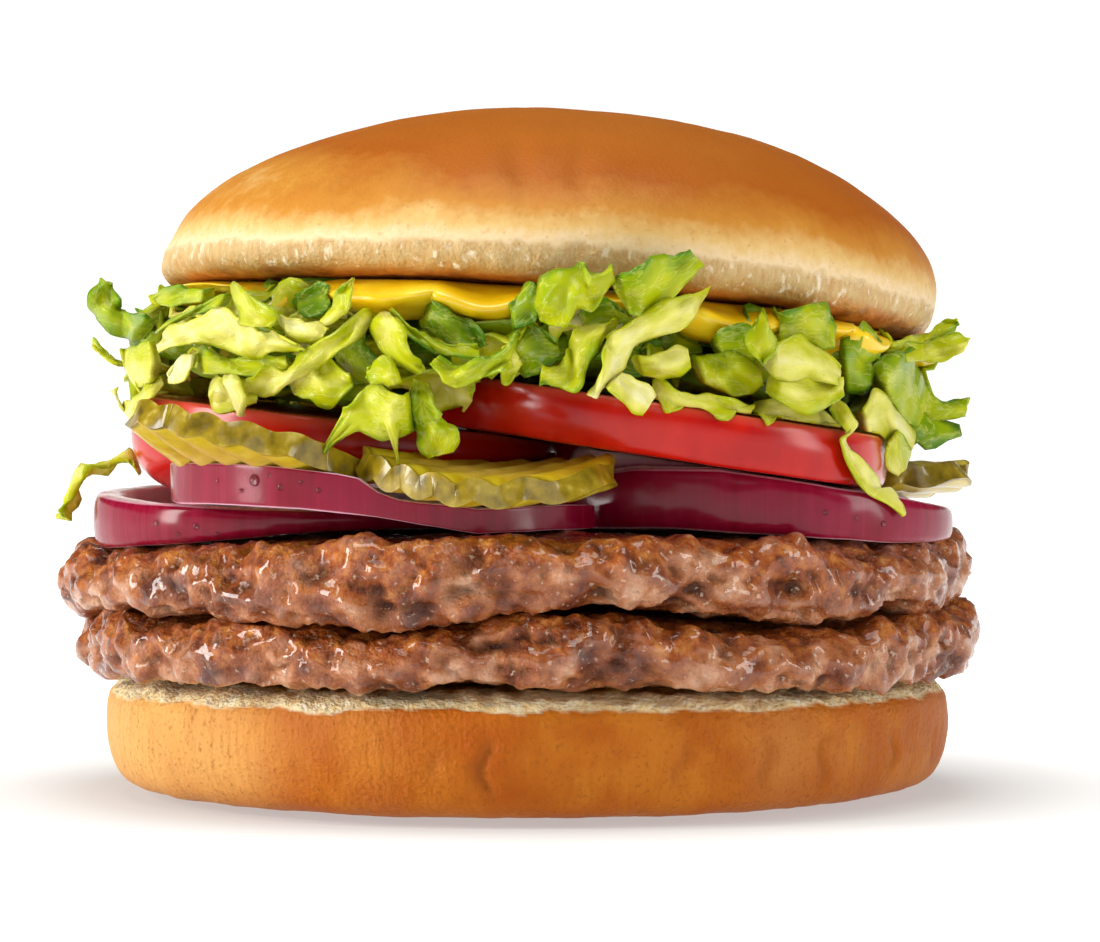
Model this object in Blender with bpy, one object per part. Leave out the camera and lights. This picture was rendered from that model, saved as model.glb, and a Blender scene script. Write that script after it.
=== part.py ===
"""A double hamburger: bottom bun, two beef patties, red onion, pickle and tomato slices,
shredded lettuce, mustard and top bun, each a closed solid, stacked as they lie.

Sizes are in millimetres and are turned to metres as each mesh is made. +X is to the right
as the burger is served, -Y is its front and +Z is up. The origin is the middle of the
bottom bun's flat foot.
"""
import math
import random

import bmesh
import bpy
from mathutils import Euler, Matrix, Vector, noise
from mathutils.bvhtree import BVHTree

MM = 0.001
CLEAR = 0.3  # clear space left between pieces that rest on each other

# The bottom bun
FOOT_RADIUS = 31.0
BOTTOM_RADIUS = 52.6
BOTTOM_HEIGHT = 16.7

# The top bun, modelled flat on its cut face, then tipped front up and right side down
TOP_RADIUS = 48.0
TOP_DOME = 20.4  # height of the dome over its widest ring
TOP_WIDEST = 4.7  # height of that ring over the cut face
TOP_CUT_RADIUS = 44.0
TOP_CUT_LEFT = 1.8  # how much further out the cut face reaches at the left
TOP_DROOP = 1.1  # how far its right end hangs
TOP_AT = (3.2, 0.0, 59.8)
TOP_TURN = (-6.6, 3.7)  # degrees about X and Y

# The patties, and how far each surface in the stack sags at its left, right and front
PATTY_RADIUS = 56.2
PATTY_DIMPLE = 1.3  # how far the middle of the meat sinks under its raised rim
SAG_SPAN = 57.0
BOTTOM_SAG = (2.2, 2.2, 0.5)
MIDDLE_TOP, MIDDLE_SAG = 25.6, (3.2, 3.0, 0.6)
MEAT_TOP, MEAT_SAG = 35.2, (5.2, 4.0, 0.8)
SEAM_WAVE = 1.1  # rise and fall of the seam between the patties at their rim

# The slices: (X, Y) of the middle, and radius
ONION_LEFT = ((-28.5, -11.0), 24.5)
ONION_RIGHT = ((26.5, -14.0), 26.0)
ONION_BACK = ((0.0, 31.0), 21.0)
ONION_ARC = ((-16.0, -23.5), 27.5)
ONION_WALL = 3.2
TOMATO_LEFT = ((-22.5, -4.0), 26.5)
TOMATO_RIGHT = ((17.0, -19.0), 28.0)
TOMATO_BACK = ((5.0, 33.0), 19.0)

# The waves that the crinkle blade leaves in a pickle slice
CRINKLE_LENGTH, CRINKLE_HEIGHT = 4.6, 0.45
CRINKLE_TURN = 33.0  # degrees

# Lobes of mustard that hang at the rim: degrees right of the front, half width, drop
MUSTARD_LOBES = [
    (-86, 7, 1.8), (-48, 7, 3.8), (-25, 9, 3.0), (-11, 7, 3.6), (10, 8, 1.2), (30, 8, 3.6),
    (46, 5, 2.2), (55, 4, 3.2), (88, 10, 2.2), (122, 8, 3.0), (150, 11, 2.4), (185, 9, 3.2),
    (214, 8, 2.0), (243, 10, 3.0),
]

# The lettuce
HEAP_RADIUS = 40.0  # the packed middle of the heap
HEAP_FACE = 50.0  # where the shreds that hang out of it show
HEAP_FLOOR = 43.5  # the packed middle doesn't fill the hollows below this
SHRED_THICKNESS = 0.7
SHRED_STEPS = 4
SHRED_CLEARANCE = 0.9

BEEF = ((0.36, 0.18, 0.12), 0.45)
CRUST = ((0.80, 0.42, 0.14), 0.6)
TOMATO = ((0.75, 0.07, 0.04), 0.25)
ONION = ((0.42, 0.05, 0.16), 0.25)
PICKLE = ((0.50, 0.48, 0.08), 0.25)
LETTUCE = ((0.50, 0.66, 0.12), 0.4)
MUSTARD = ((0.90, 0.62, 0.04), 0.3)

# Shreds that show at the front: (X, Z) of where each comes out, bends and ends, then its
# width, how far it stands proud of the heap's face and how far it is rolled, in degrees
SHREDS = [
    ((-45.7, 59.8), (-50.7, 61.7), (-52.9, 65.0), 3.6, 0, 10),
    ((-45.1, 59.0), (-50.1, 58.5), (-53.5, 61.3), 2.6, 2, -30),
    ((-36.6, 63.5), (-41.1, 62.3), (-46.0, 62.4), 2.2, 1, 20),
    ((-34.8, 62.0), (-39.1, 61.0), (-43.7, 59.0), 2.0, 3, 0),
    ((-25.7, 57.2), (-35.6, 59.5), (-45.2, 56.1), 5.2, 1, 15),
    ((-34.6, 62.5), (-32.6, 61.0), (-30.6, 58.0), 3.2, 2, 0),
    ((-21.2, 62.6), (-23.0, 60.3), (-29.4, 58.6), 2.8, 2, -20),
    ((-17.1, 60.0), (-31.0, 54.4), (-38.2, 50.6), 3.2, 1, 10),
    ((-19.5, 55.0), (-24.9, 54.6), (-28.5, 52.0), 2.8, 3, 30),
    ((-37.2, 55.4), (-41.0, 55.5), (-45.5, 52.6), 2.8, 2, 0),
    ((-44.0, 55.0), (-50.1, 54.4), (-54.2, 56.9), 1.8, 0, 0),
    ((-44.0, 53.6), (-49.0, 52.6), (-51.6, 49.0), 3.0, 2, -20),
    ((-36.0, 53.5), (-34.3, 51.1), (-33.3, 47.6), 1.8, 4, 0),
    ((-17.2, 60.5), (-14.6, 57.6), (-11.6, 53.6), 4.6, 2, 10),
    ((-20.4, 54.6), (-17.2, 50.9), (-14.4, 46.6), 5.0, 5, 25),
    ((-14.0, 52.0), (-11.0, 48.4), (-8.6, 44.6), 3.8, 4, -25),
    ((-0.2, 57.4), (-6.3, 54.6), (-12.4, 53.4), 3.0, 5, 15),
    ((-16.0, 61.0), (-10.0, 60.0), (-3.0, 57.4), 2.8, 1, 0),
    ((1.6, 61.6), (-1.0, 59.6), (-3.6, 56.0), 3.2, 3, 20),
    ((2.7, 60.0), (6.8, 63.0), (11.3, 66.0), 5.2, 4, 15),
    ((11.3, 60.2), (5.6, 56.4), (1.6, 54.6), 3.6, 3, 0),
    ((11.3, 61.0), (15.8, 65.0), (22.0, 67.4), 5.0, 5, 15),
    ((20.0, 62.0), (13.5, 59.4), (8.0, 52.6), 4.0, 4, -15),
    ((21.2, 57.6), (16.6, 56.2), (12.0, 54.0), 3.4, 3, 10),
    ((11.0, 57.0), (13.6, 52.6), (15.0, 49.4), 2.8, 6, 0),
    ((29.0, 59.6), (23.8, 59.8), (18.6, 58.0), 2.4, 1, 0),
    ((33.0, 57.0), (31.0, 59.6), (36.6, 59.6), 3.6, 3, 10),
    ((28.7, 58.4), (32.1, 54.2), (37.6, 50.6), 5.0, 2, 20),
    ((21.2, 57.8), (26.0, 55.5), (30.3, 52.6), 4.0, 2, -10),
    ((37.6, 51.4), (39.6, 44.4), (44.7, 38.4), 1.9, 6, 0),
    ((39.6, 52.4), (44.4, 48.0), (47.8, 43.0), 4.4, 2, 10),
    ((41.0, 54.6), (48.3, 51.6), (56.6, 49.0), 5.0, 2, 15),
    ((39.1, 55.4), (46.2, 56.2), (54.4, 57.8), 2.8, 0, -10),
    ((15.5, 54.4), (21.2, 52.2), (27.3, 51.6), 3.0, 3, 0),
    ((27.0, 53.0), (32.7, 51.0), (38.6, 48.8), 2.8, 3, 0),
]
WISP = ((-40.0, 44.0), (-53.0, 42.4), (-57.1, 34.4), 1.6)  # hangs past the left slices
SIDE_SHREDS = 24  # the same kinds of shred, strewn round the sides and back
SIDE_SEED = 8


def clear_scene():
    """Takes every object out of the scene."""
    for obj in list(bpy.data.objects):
        bpy.data.objects.remove(obj)


def material(name, look):
    """A Principled material of one colour and roughness."""
    colour, roughness = look
    made = bpy.data.materials.get(name) or bpy.data.materials.new(name)
    made.use_nodes = True
    shader = made.node_tree.nodes["Principled BSDF"]
    shader.inputs["Base Color"].default_value = (*colour, 1.0)
    shader.inputs["Roughness"].default_value = roughness
    shader.inputs["Metallic"].default_value = 0.0
    return made


def smoothstep(low, high, value):
    """0 below low, 1 above high, and a smooth rise between them."""
    share = min(1.0, max(0.0, (value - low) / (high - low)))
    return share * share * (3 - 2 * share)


def sagging(base, sag, dimple=0.0):
    """A surface at height base that sags by sag = (left, right, front) at the stack's edge
    and sinks by dimple in its middle."""
    left, right, front = sag

    def surface(x, y):
        side = left if x < 0 else right
        middle = dimple * (1 - smoothstep(20, 46, math.hypot(x, y)))
        return base - side * (x / SAG_SPAN) ** 2 - front * (y / SAG_SPAN) ** 2 - middle

    return surface


def plane(through, slope_x, slope_y):
    """A flat surface through one point, which rises by the slopes along X and Y."""
    x0, y0, z0 = through
    return lambda x, y: z0 + slope_x * (x - x0) + slope_y * (y - y0)


def above(surface, height):
    """A surface lifted by height."""
    return lambda x, y: surface(x, y) + height


def finished(name, mesh, look, at=(0, 0, 0), turn=(0, 0, 0)):
    """An object in the scene from a bmesh in millimetres, facing out and shaded smooth."""
    bmesh.ops.recalc_face_normals(mesh, faces=mesh.faces)
    bmesh.ops.scale(mesh, vec=(MM, MM, MM), verts=mesh.verts)
    data = bpy.data.meshes.new(name)
    mesh.to_mesh(data)
    mesh.free()
    data.shade_smooth()
    data.set_sharp_from_angle(angle=math.radians(50))
    obj = bpy.data.objects.new(name, data)
    obj.location = Vector(at) * MM
    obj.rotation_euler = Euler([math.radians(a) for a in turn])
    obj.data.materials.append(material(look[0], look[1]))
    bpy.context.scene.collection.objects.link(obj)
    return obj


def turned(profile, sides, ring=False, sweep=(0.0, 360.0)):
    """A bmesh of a profile of (radius, height) points turned about Z. A ring's profile is
    a closed loop, and a sweep short of a whole turn gets an end face at each end."""
    mesh = bmesh.new()
    start, end = (math.radians(a) for a in sweep)
    points = [mesh.verts.new((r * math.cos(start), r * math.sin(start), z)) for r, z in profile]
    follow = points[1:] + points[:1] if ring else points[1:]
    edges = [mesh.edges.new(pair) for pair in zip(points, follow)]
    bmesh.ops.spin(
        mesh, geom=points + edges, cent=(0, 0, 0), axis=(0, 0, 1), angle=end - start, steps=sides
    )
    bmesh.ops.remove_doubles(mesh, verts=mesh.verts, dist=1e-4)
    if end - start < math.tau - 1e-6:
        bmesh.ops.holes_fill(mesh, edges=[e for e in mesh.edges if e.is_boundary])
    return mesh


def laid_between(mesh, centre, under, over, outline=None, relief=None):
    """Bends a turned bmesh, whose heights run from 0 to 1, into a layer that fills the
    space from one surface to another. outline(angle) scales its radius, and relief
    (position, share of height) returns a shift of each point."""
    for vert in mesh.verts:
        share = vert.co.z
        scale = outline(math.atan2(vert.co.y, vert.co.x)) if outline else 1.0
        x, y = vert.co.x * scale, vert.co.y * scale
        low = under(x + centre[0], y + centre[1])
        high = over(x + centre[0], y + centre[1])
        vert.co = Vector((x, y, low + (high - low) * share))
        if relief:
            vert.co += relief(vert.co.copy(), share)
    return mesh


def waves(angle, terms):
    """1 plus a sum of (size, count, phase) waves round a circle."""
    return 1 + sum(size * math.sin(count * angle + phase) for size, count, phase in terms)


def bottom_bun():
    """The bottom half: a flat foot, a steep browned side, and a cut face whose soft rim
    slopes down to the crust."""
    foot = [(0, 0), (FOOT_RADIUS, 0)]
    side = [(41.5, 0.5), (47.8, 0.95), (50.6, 2.1), (52.0, 4.4)]
    side += [(BOTTOM_RADIUS, 9.0), (52.3, 13.2)]
    rim = [(50.8, 14.8), (48.2, 16.1), (44, BOTTOM_HEIGHT), (26, BOTTOM_HEIGHT)]
    mesh = turned(foot + side + rim + [(0, BOTTOM_HEIGHT)], 40)
    top = sagging(BOTTOM_HEIGHT, BOTTOM_SAG)
    for vert in mesh.verts:
        x, y, z = vert.co
        out = smoothstep(40, 50, math.hypot(x, y))
        swell = 1 + out * (waves(math.atan2(y, x), [(0.008, 3, 0.4), (0.005, 7, 2.0)]) - 1)
        sag = (BOTTOM_HEIGHT - top(x, y)) * smoothstep(2, 13, z)
        vert.co = Vector((x * swell, y * swell, z - sag))
    return finished("bottom_bun", mesh, ("bun crust", CRUST))


def top_bun():
    """The domed top half, modelled flat on its cut face and then tipped back."""
    cut = [(0, 0), (26, 0), (36, 0), (TOP_CUT_RADIUS, 0)]
    lip = [(46.2, 0.7), (47.5, 2.4), (TOP_RADIUS, TOP_WIDEST)]
    lifts = [math.radians(a) for a in (15, 29, 42, 54, 66, 78)]
    dome = [(TOP_RADIUS * math.cos(a), TOP_WIDEST + TOP_DOME * math.sin(a)) for a in lifts]
    mesh = turned(cut + lip + dome + [(0, TOP_WIDEST + TOP_DOME)], 40)
    for vert in mesh.verts:
        angle = math.atan2(vert.co.y, vert.co.x)
        high = smoothstep(0.5, 8, vert.co.z)
        swell = 1 + high * (waves(angle, [(0.004, 2, 0.5), (0.004, 5, 1.7)]) - 1)
        low = smoothstep(TOP_WIDEST + 2, 0, vert.co.z) * max(0.0, -math.cos(angle)) ** 1.5
        swell += low * smoothstep(26, 44, math.hypot(vert.co.x, vert.co.y)) * TOP_CUT_LEFT / 44
        vert.co.x = vert.co.x * swell + 0.12 * max(0.0, vert.co.z - TOP_WIDEST)
        vert.co.y *= swell
        flatter = 0.8 * high * math.exp(-(((vert.co.x + 34) / 14) ** 2))
        vert.co.z -= flatter + TOP_DROOP * smoothstep(24, 46, vert.co.x)
    return finished("top_bun", mesh, ("bun crust", CRUST), TOP_AT, (*TOP_TURN, 0))


def top_bun_underside():
    """The surface of the top bun's cut face."""
    turn = Euler([math.radians(a) for a in (*TOP_TURN, 0)])
    normal = turn.to_matrix() @ Vector((0, 0, 1))
    flat = plane(TOP_AT, -normal.x / normal.z, -normal.y / normal.z)
    return lambda x, y: flat(x, y) - TOP_DROOP * smoothstep(24, 46, x - TOP_AT[0])


def seam(x, y):
    """The wavy surface where the two patties meet."""
    angle, reach = math.atan2(y, x), math.hypot(x, y) / PATTY_RADIUS
    wave = math.sin(5 * angle + 2.6) + 0.6 * math.sin(8 * angle + 0.4)
    return sagging(MIDDLE_TOP, MIDDLE_SAG)(x, y) + SEAM_WAVE * wave * min(1.0, reach) ** 4


def patty(name, under, over, outline, seed):
    """A flat round of minced beef with a thick craggy rim."""
    bulge = [math.pi * (i / 5 - 0.5) for i in range(6)]
    edge = [(PATTY_RADIUS - 3.4 * (1 - math.cos(a)), 0.5 + 0.5 * math.sin(a)) for a in bulge]
    flat = [18, 36, 48]
    profile = [(0, 0)] + [(r, 0) for r in flat] + edge + [(r, 1) for r in flat[::-1]] + [(0, 1)]
    mesh = turned(profile, 52)

    def crags(at, share):
        reach = max(1.0, math.hypot(at.x, at.y))
        rim = smoothstep(46, 55, reach)
        lumps = noise.noise(Vector((at.x, at.y, at.z * 1.3)) / 11 + Vector((seed, 0, 0)))
        grain = noise.noise(Vector((at.x, at.y, at.z * 2)) / 6 + Vector((0, seed, 0)))
        out = rim * (2.6 * lumps + 0.9 * grain)
        sink = 0.9 * rim * abs(grain) * (1 - 2 * share)
        return Vector((at.x / reach * out, at.y / reach * out, sink))

    laid_between(mesh, (0, 0), under, over, outline, crags)
    return finished(name, mesh, ("seared beef", BEEF))


def onion_slice(name, place, under, over, sunk):
    """A slice of red onion: an outer wall, and inner rings sunk below its top."""
    centre, radius = place
    base = [(0, 0), (radius * 0.55, 0), (radius - 0.5, 0)]
    base += [(radius + 0.2, 0.3), (radius + 0.2, 0.7)]
    rim = [(radius - 0.4, 1), (radius - ONION_WALL, 1), (radius - ONION_WALL - 0.3, 1 - sunk)]
    mesh = turned(base + rim + [(0, 1 - sunk)], 30)
    oval = [(0.016, 2, centre[0]), (0.006, 3, centre[1])]
    laid_between(mesh, centre, under, over, lambda a: waves(a, oval))
    return finished(name, mesh, ("red onion", ONION), (*centre, 0))


def onion_arc(name, place, under, over, sweep):
    """A loose ring of red onion that bends round the front of the stack."""
    centre, radius = place
    outer = [(radius - 0.5, 0), (radius + 0.1, 0.3), (radius + 0.1, 0.7), (radius - 0.5, 1)]
    inner = [(radius - ONION_WALL + 0.2, 1), (radius - ONION_WALL, 0.5)]
    mesh = turned(outer + inner + [(radius - ONION_WALL + 0.2, 0)], 22, True, sweep)
    laid_between(mesh, centre, under, over)
    return finished(name, mesh, ("red onion", ONION), (*centre, 0))


def tomato_slice(name, place, under, over, undercut=0.9):
    """A slice of tomato: flat cut faces, and a skin that bulges, undercut at its foot."""
    centre, radius = place
    base = [(0, 0), (radius * 0.6, 0), (radius - undercut, 0), (radius - undercut * 0.4, 0.16)]
    edge = [(radius - 0.1, 0.4), (radius, 0.65), (radius - 0.8, 1)]
    mesh = turned(base + edge + [(radius * 0.6, 1), (0, 1)], 32)
    lobes = [(0.010, 5, centre[0]), (0.005, 7, centre[1])]
    laid_between(mesh, centre, under, over, lambda a: waves(a, lobes))
    return finished(name, mesh, ("tomato", TOMATO), (*centre, 0))


def pickle_slice(name, size, at, turn, cup):
    """A crinkle-cut slice: an oval plate whose two faces follow the same waves, which run
    askew across it. cup = (left, right) lifts its ends."""
    length, width, thickness = size
    askew = math.radians(CRINKLE_TURN)
    columns, rows = 26, 2
    mesh = bmesh.new()
    plates = []
    for side in (-1, 1):
        grid = []
        for i in range(columns + 1):
            along = -math.cos(math.pi * (i + 0.6) / (columns + 1.2))
            x = along * length / 2
            reach = math.sqrt(max(0.0, 1 - along**2)) * width / 2
            lift = (cup[0] if x < 0 else cup[1]) * along**2
            row = []
            for y in [reach * (2 * j / rows - 1) for j in range(rows + 1)]:
                phase = math.tau * (x * math.cos(askew) - y * math.sin(askew)) / CRINKLE_LENGTH
                z = CRINKLE_HEIGHT * math.sin(phase) + lift + side * thickness / 2
                row.append(mesh.verts.new((x, y, z)))
            grid.append(row)
        plates.append(grid)
    for grid, side in zip(plates, (-1, 1)):
        for i in range(columns):
            for j in range(rows):
                quad = [grid[i][j], grid[i + 1][j], grid[i + 1][j + 1], grid[i][j + 1]]
                mesh.faces.new(quad[::side])
    low, high = plates
    rim = [(i, 0) for i in range(columns)] + [(columns, j) for j in range(rows)]
    rim += [(i, rows) for i in range(columns, 0, -1)] + [(0, j) for j in range(rows, 0, -1)]
    for (i, j), (k, m) in zip(rim, rim[1:] + rim[:1]):
        mesh.faces.new([low[i][j], low[k][m], high[k][m], high[i][j]])
    return finished(name, mesh, ("pickle", PICKLE), at, turn)


def mustard(under_bun):
    """The mustard: a thin sheet on the top bun's cut face that thickens into lobes at its
    rim and runs down between the lettuce."""
    radius = 43.5
    profile = [(0, 0), (24, 0), (36, 0), (radius - 1.5, 0.05), (radius, 0.5), (radius - 1, 1)]
    mesh = turned(profile + [(24, 1), (0, 1)], 44)
    centre = (TOP_AT[0], TOP_AT[1])
    over = above(under_bun, -CLEAR)

    def under(x, y):
        angle = math.atan2(y - centre[1], x - centre[0])
        reach = math.hypot(x - centre[0], y - centre[1])
        front = math.degrees(angle) + 90
        drop = 0.0
        for place, width, depth in MUSTARD_LOBES:
            away = (front - place + 180) % 360 - 180
            drop = max(drop, depth * math.exp(-((away / width) ** 2)))
        return over(x, y) - 1.1 - drop * smoothstep(34, 42, reach)

    laid_between(mesh, centre, under, over, lambda a: waves(a, [(0.03, 6, 0.5), (0.02, 9, 1)]))
    return finished("mustard", mesh, ("mustard", MUSTARD), (*centre, 0))


class Space:
    """The room the lettuce has, between the toppings below it and the mustard and the top
    bun over it."""

    def __init__(self, below, over):
        self.below = self.tree(below)
        self.over = self.tree(over)

    @staticmethod
    def tree(objects):
        """One search tree, in millimetres, of all the objects' faces."""
        points, faces = [], []
        for obj in objects:
            turn = Matrix.LocRotScale(obj.location, obj.rotation_euler, None)
            start = len(points)
            points += [turn @ v.co / MM for v in obj.data.vertices]
            faces += [[start + i for i in p.vertices] for p in obj.data.polygons]
        return BVHTree.FromPolygons(points, faces)

    @staticmethod
    def heights(tree, x, y, start, way, spread):
        """The heights at which a tree's faces are met, up or down, round (x, y)."""
        spots = [(0.0, 0.0)]
        for reach in (spread / 2, spread):
            turns = [math.tau * i / 8 for i in range(8)]
            spots += [(reach * math.cos(a), reach * math.sin(a)) for a in turns]
        hits = [
            tree.ray_cast(Vector((x + dx, y + dy, start)), Vector((0, 0, way)))[0]
            for dx, dy in spots
        ]
        return [hit.z for hit in hits if hit]

    def floor(self, x, y, spread=2.0):
        """The highest surface below the lettuce near (x, y)."""
        return max(self.heights(self.below, x, y, 90, -1, spread), default=-math.inf)

    def ceiling(self, x, y, spread=2.0):
        """The lowest surface over the lettuce near (x, y)."""
        return min(self.heights(self.over, x, y, 30, 1, spread), default=math.inf)

    def keep_in(self, point, margin=SHRED_CLEARANCE):
        """The point, moved up or down until it is clear of what is below and over it."""
        low = self.floor(point.x, point.y) + margin
        high = self.ceiling(point.x, point.y, 4.0) - margin
        return Vector((point.x, point.y, max(min(point.z, high), low)))


def heap_core(space):
    """The packed middle of the heap, fitted between its neighbours."""
    rows = [(HEAP_RADIUS * share, 1) for share in (0.3, 0.6, 0.85)]
    profile = [(0, 0)] + [(r, 0) for r, _ in rows] + [(HEAP_RADIUS - 2, 0.15)]
    profile += [(HEAP_RADIUS, 0.5), (HEAP_RADIUS - 2, 0.85)] + rows[::-1] + [(0, 1)]
    mesh = turned(profile, 28)

    def under(x, y):
        return max(HEAP_FLOOR, space.floor(x, y, 7.5) + 1.0)

    def over(x, y):
        return max(under(x, y) + 1.0, space.ceiling(x, y, 6.5) - 1.4)

    ruffle = [(0.03, 7, 1.0), (0.03, 11, 0.2)]
    laid_between(mesh, (1, -1), under, over, lambda a: waves(a, ruffle))
    return finished("heap core", mesh, ("lettuce", LETTUCE), (1, -1, 0))


def shred(space, route, width, roll):
    """One shred: a strip along a smooth route of points, as flat as a leaf, whose faces
    look out of the heap and are rolled about the route."""
    mesh = bmesh.new()
    rings = []
    for i in range(SHRED_STEPS + 1):
        t = i / SHRED_STEPS * (len(route) - 1)
        k = min(int(t), len(route) - 2)
        before, start = route[max(k - 1, 0)], route[k]
        end, after = route[k + 1], route[min(k + 2, len(route) - 1)]
        u = t - k
        at = 0.5 * (
            2 * start + (end - before) * u + (2 * before - 5 * start + 4 * end - after) * u**2
            + (3 * start - before - 3 * end + after) * u**3
        )
        along = (end - start).normalized()
        out = Vector((at.x, at.y, 0)).normalized()
        across = along.cross(out).normalized()
        across = Matrix.Rotation(math.radians(roll * (1 + 0.3 * i)), 3, along) @ across
        face = across.cross(along).normalized() * SHRED_THICKNESS / 2
        half = across * width / 2 * (0.55 if i in (0, SHRED_STEPS) else 1.0)
        corners = [at - half - face, at + half - face, at + half + face, at - half + face]
        rings.append([mesh.verts.new(space.keep_in(c)) for c in corners])
    for ring, follow in zip(rings, rings[1:]):
        for j in range(4):
            m = (j + 1) % 4
            quad = (ring[j], ring[m], follow[m], follow[j])
            split = (0, 2) if j < 2 else (1, 3)
            first, second = split
            mesh.faces.new((quad[first], quad[first + 1], quad[second]))
            mesh.faces.new((quad[second], quad[(second + 1) % 4], quad[first]))
    mesh.faces.new(rings[0][::-1])
    mesh.faces.new(rings[-1])
    return finished("shred", mesh, ("lettuce", LETTUCE))


def face_of_heap(x, z, proud):
    """The point at (x, z) on the front face of the heap, standing proud of it."""
    depth = math.sqrt(max(64.0, HEAP_FACE**2 - x**2))
    return Vector((x, -depth - proud, z))


def inside_heap(space, point):
    """A point in the packed middle of the heap, straight in from the given one."""
    inward = Vector((point.x, point.y, 0)).normalized() * (HEAP_RADIUS - 6)
    low = max(HEAP_FLOOR, space.floor(inward.x, inward.y, 7.5) + 1.0)
    high = space.ceiling(inward.x, inward.y, 5.0) - 1.2
    inward.z = min(max(point.z, low + 0.9), max(high - 0.9, low + 0.9))
    return inward


def lettuce(space):
    """The heap of shredded lettuce: its packed middle with the shreds that show fused on."""
    core = heap_core(space)
    pieces = []
    for start, bend, end, width, proud, roll in SHREDS:
        route = [face_of_heap(x, z, proud) for x, z in (start, bend, end)]
        pieces.append(shred(space, [inside_heap(space, route[0])] + route, width, roll))
    (x0, z0), (x1, z1), (x2, z2), width = WISP
    route = [Vector((x0, -2, z0 + 6)), Vector((x0 - 12, -1, z0 + 1)), Vector((x1, -2, z1))]
    pieces.append(shred(space, route + [Vector((x2, -4, z2))], width, 0))

    rng = random.Random(SIDE_SEED)
    for i in range(SIDE_SHREDS):
        angle = math.radians(-22 + 224 * (i + rng.uniform(-0.3, 0.3)) / (SIDE_SHREDS - 1))
        turn = Matrix.Rotation(angle, 3, "Z")
        reach, lift = rng.uniform(43, 46), rng.uniform(-2.5, 2.5)
        sweep, drop = rng.uniform(-9, 9), rng.uniform(-8, 2)
        start = turn @ Vector((40, 0, 0))
        start.z = space.ceiling(start.x * 0.85, start.y * 0.85) - 4.5 + lift
        bend = turn @ Vector((reach, sweep * 0.6, 0)) + Vector((0, 0, start.z + 1))
        end = turn @ Vector((reach + rng.uniform(-1, 4), sweep, 0))
        end.z = start.z + drop
        route = [inside_heap(space, start), start, bend, end]
        pieces.append(shred(space, route, rng.uniform(2.2, 4.6), rng.uniform(-30, 40)))

    heap = bpy.data.collections.new("shreds")
    for piece in pieces:
        bpy.context.scene.collection.objects.unlink(piece)
        heap.objects.link(piece)
    join = core.modifiers.new("join", "BOOLEAN")
    join.operation, join.operand_type, join.solver = "UNION", "COLLECTION", "MANIFOLD"
    join.collection = heap
    bpy.context.scene.collection.children.link(heap)
    bpy.context.view_layer.update()
    seen = core.evaluated_get(bpy.context.evaluated_depsgraph_get())
    joined = bmesh.new()
    joined.from_mesh(seen.to_mesh())
    seen.to_mesh_clear()
    joined.transform(Matrix.Translation(core.location))
    for piece in pieces + [core]:
        bpy.data.objects.remove(piece)
    bpy.data.collections.remove(heap)
    keep_largest(joined)
    bmesh.ops.scale(joined, vec=(1 / MM, 1 / MM, 1 / MM), verts=joined.verts)
    return finished("lettuce", joined, ("lettuce", LETTUCE))


def keep_largest(mesh):
    """Drops every loose scrap and sealed hollow, and leaves the one large shell."""
    shells, seen = [], set()
    for face in mesh.faces:
        if face in seen:
            continue
        shell, queue = [], [face]
        seen.add(face)
        while queue:
            here = queue.pop()
            shell.append(here)
            for edge in here.edges:
                for other in edge.link_faces:
                    if other not in seen:
                        seen.add(other)
                        queue.append(other)
        shells.append(shell)
    shells.sort(key=len)
    for shell in shells[:-1]:
        bmesh.ops.delete(mesh, geom=shell, context="FACES")
    bmesh.ops.dissolve_degenerate(mesh, dist=1e-6, edges=mesh.edges)
    bmesh.ops.triangulate(mesh, faces=mesh.faces)


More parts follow.
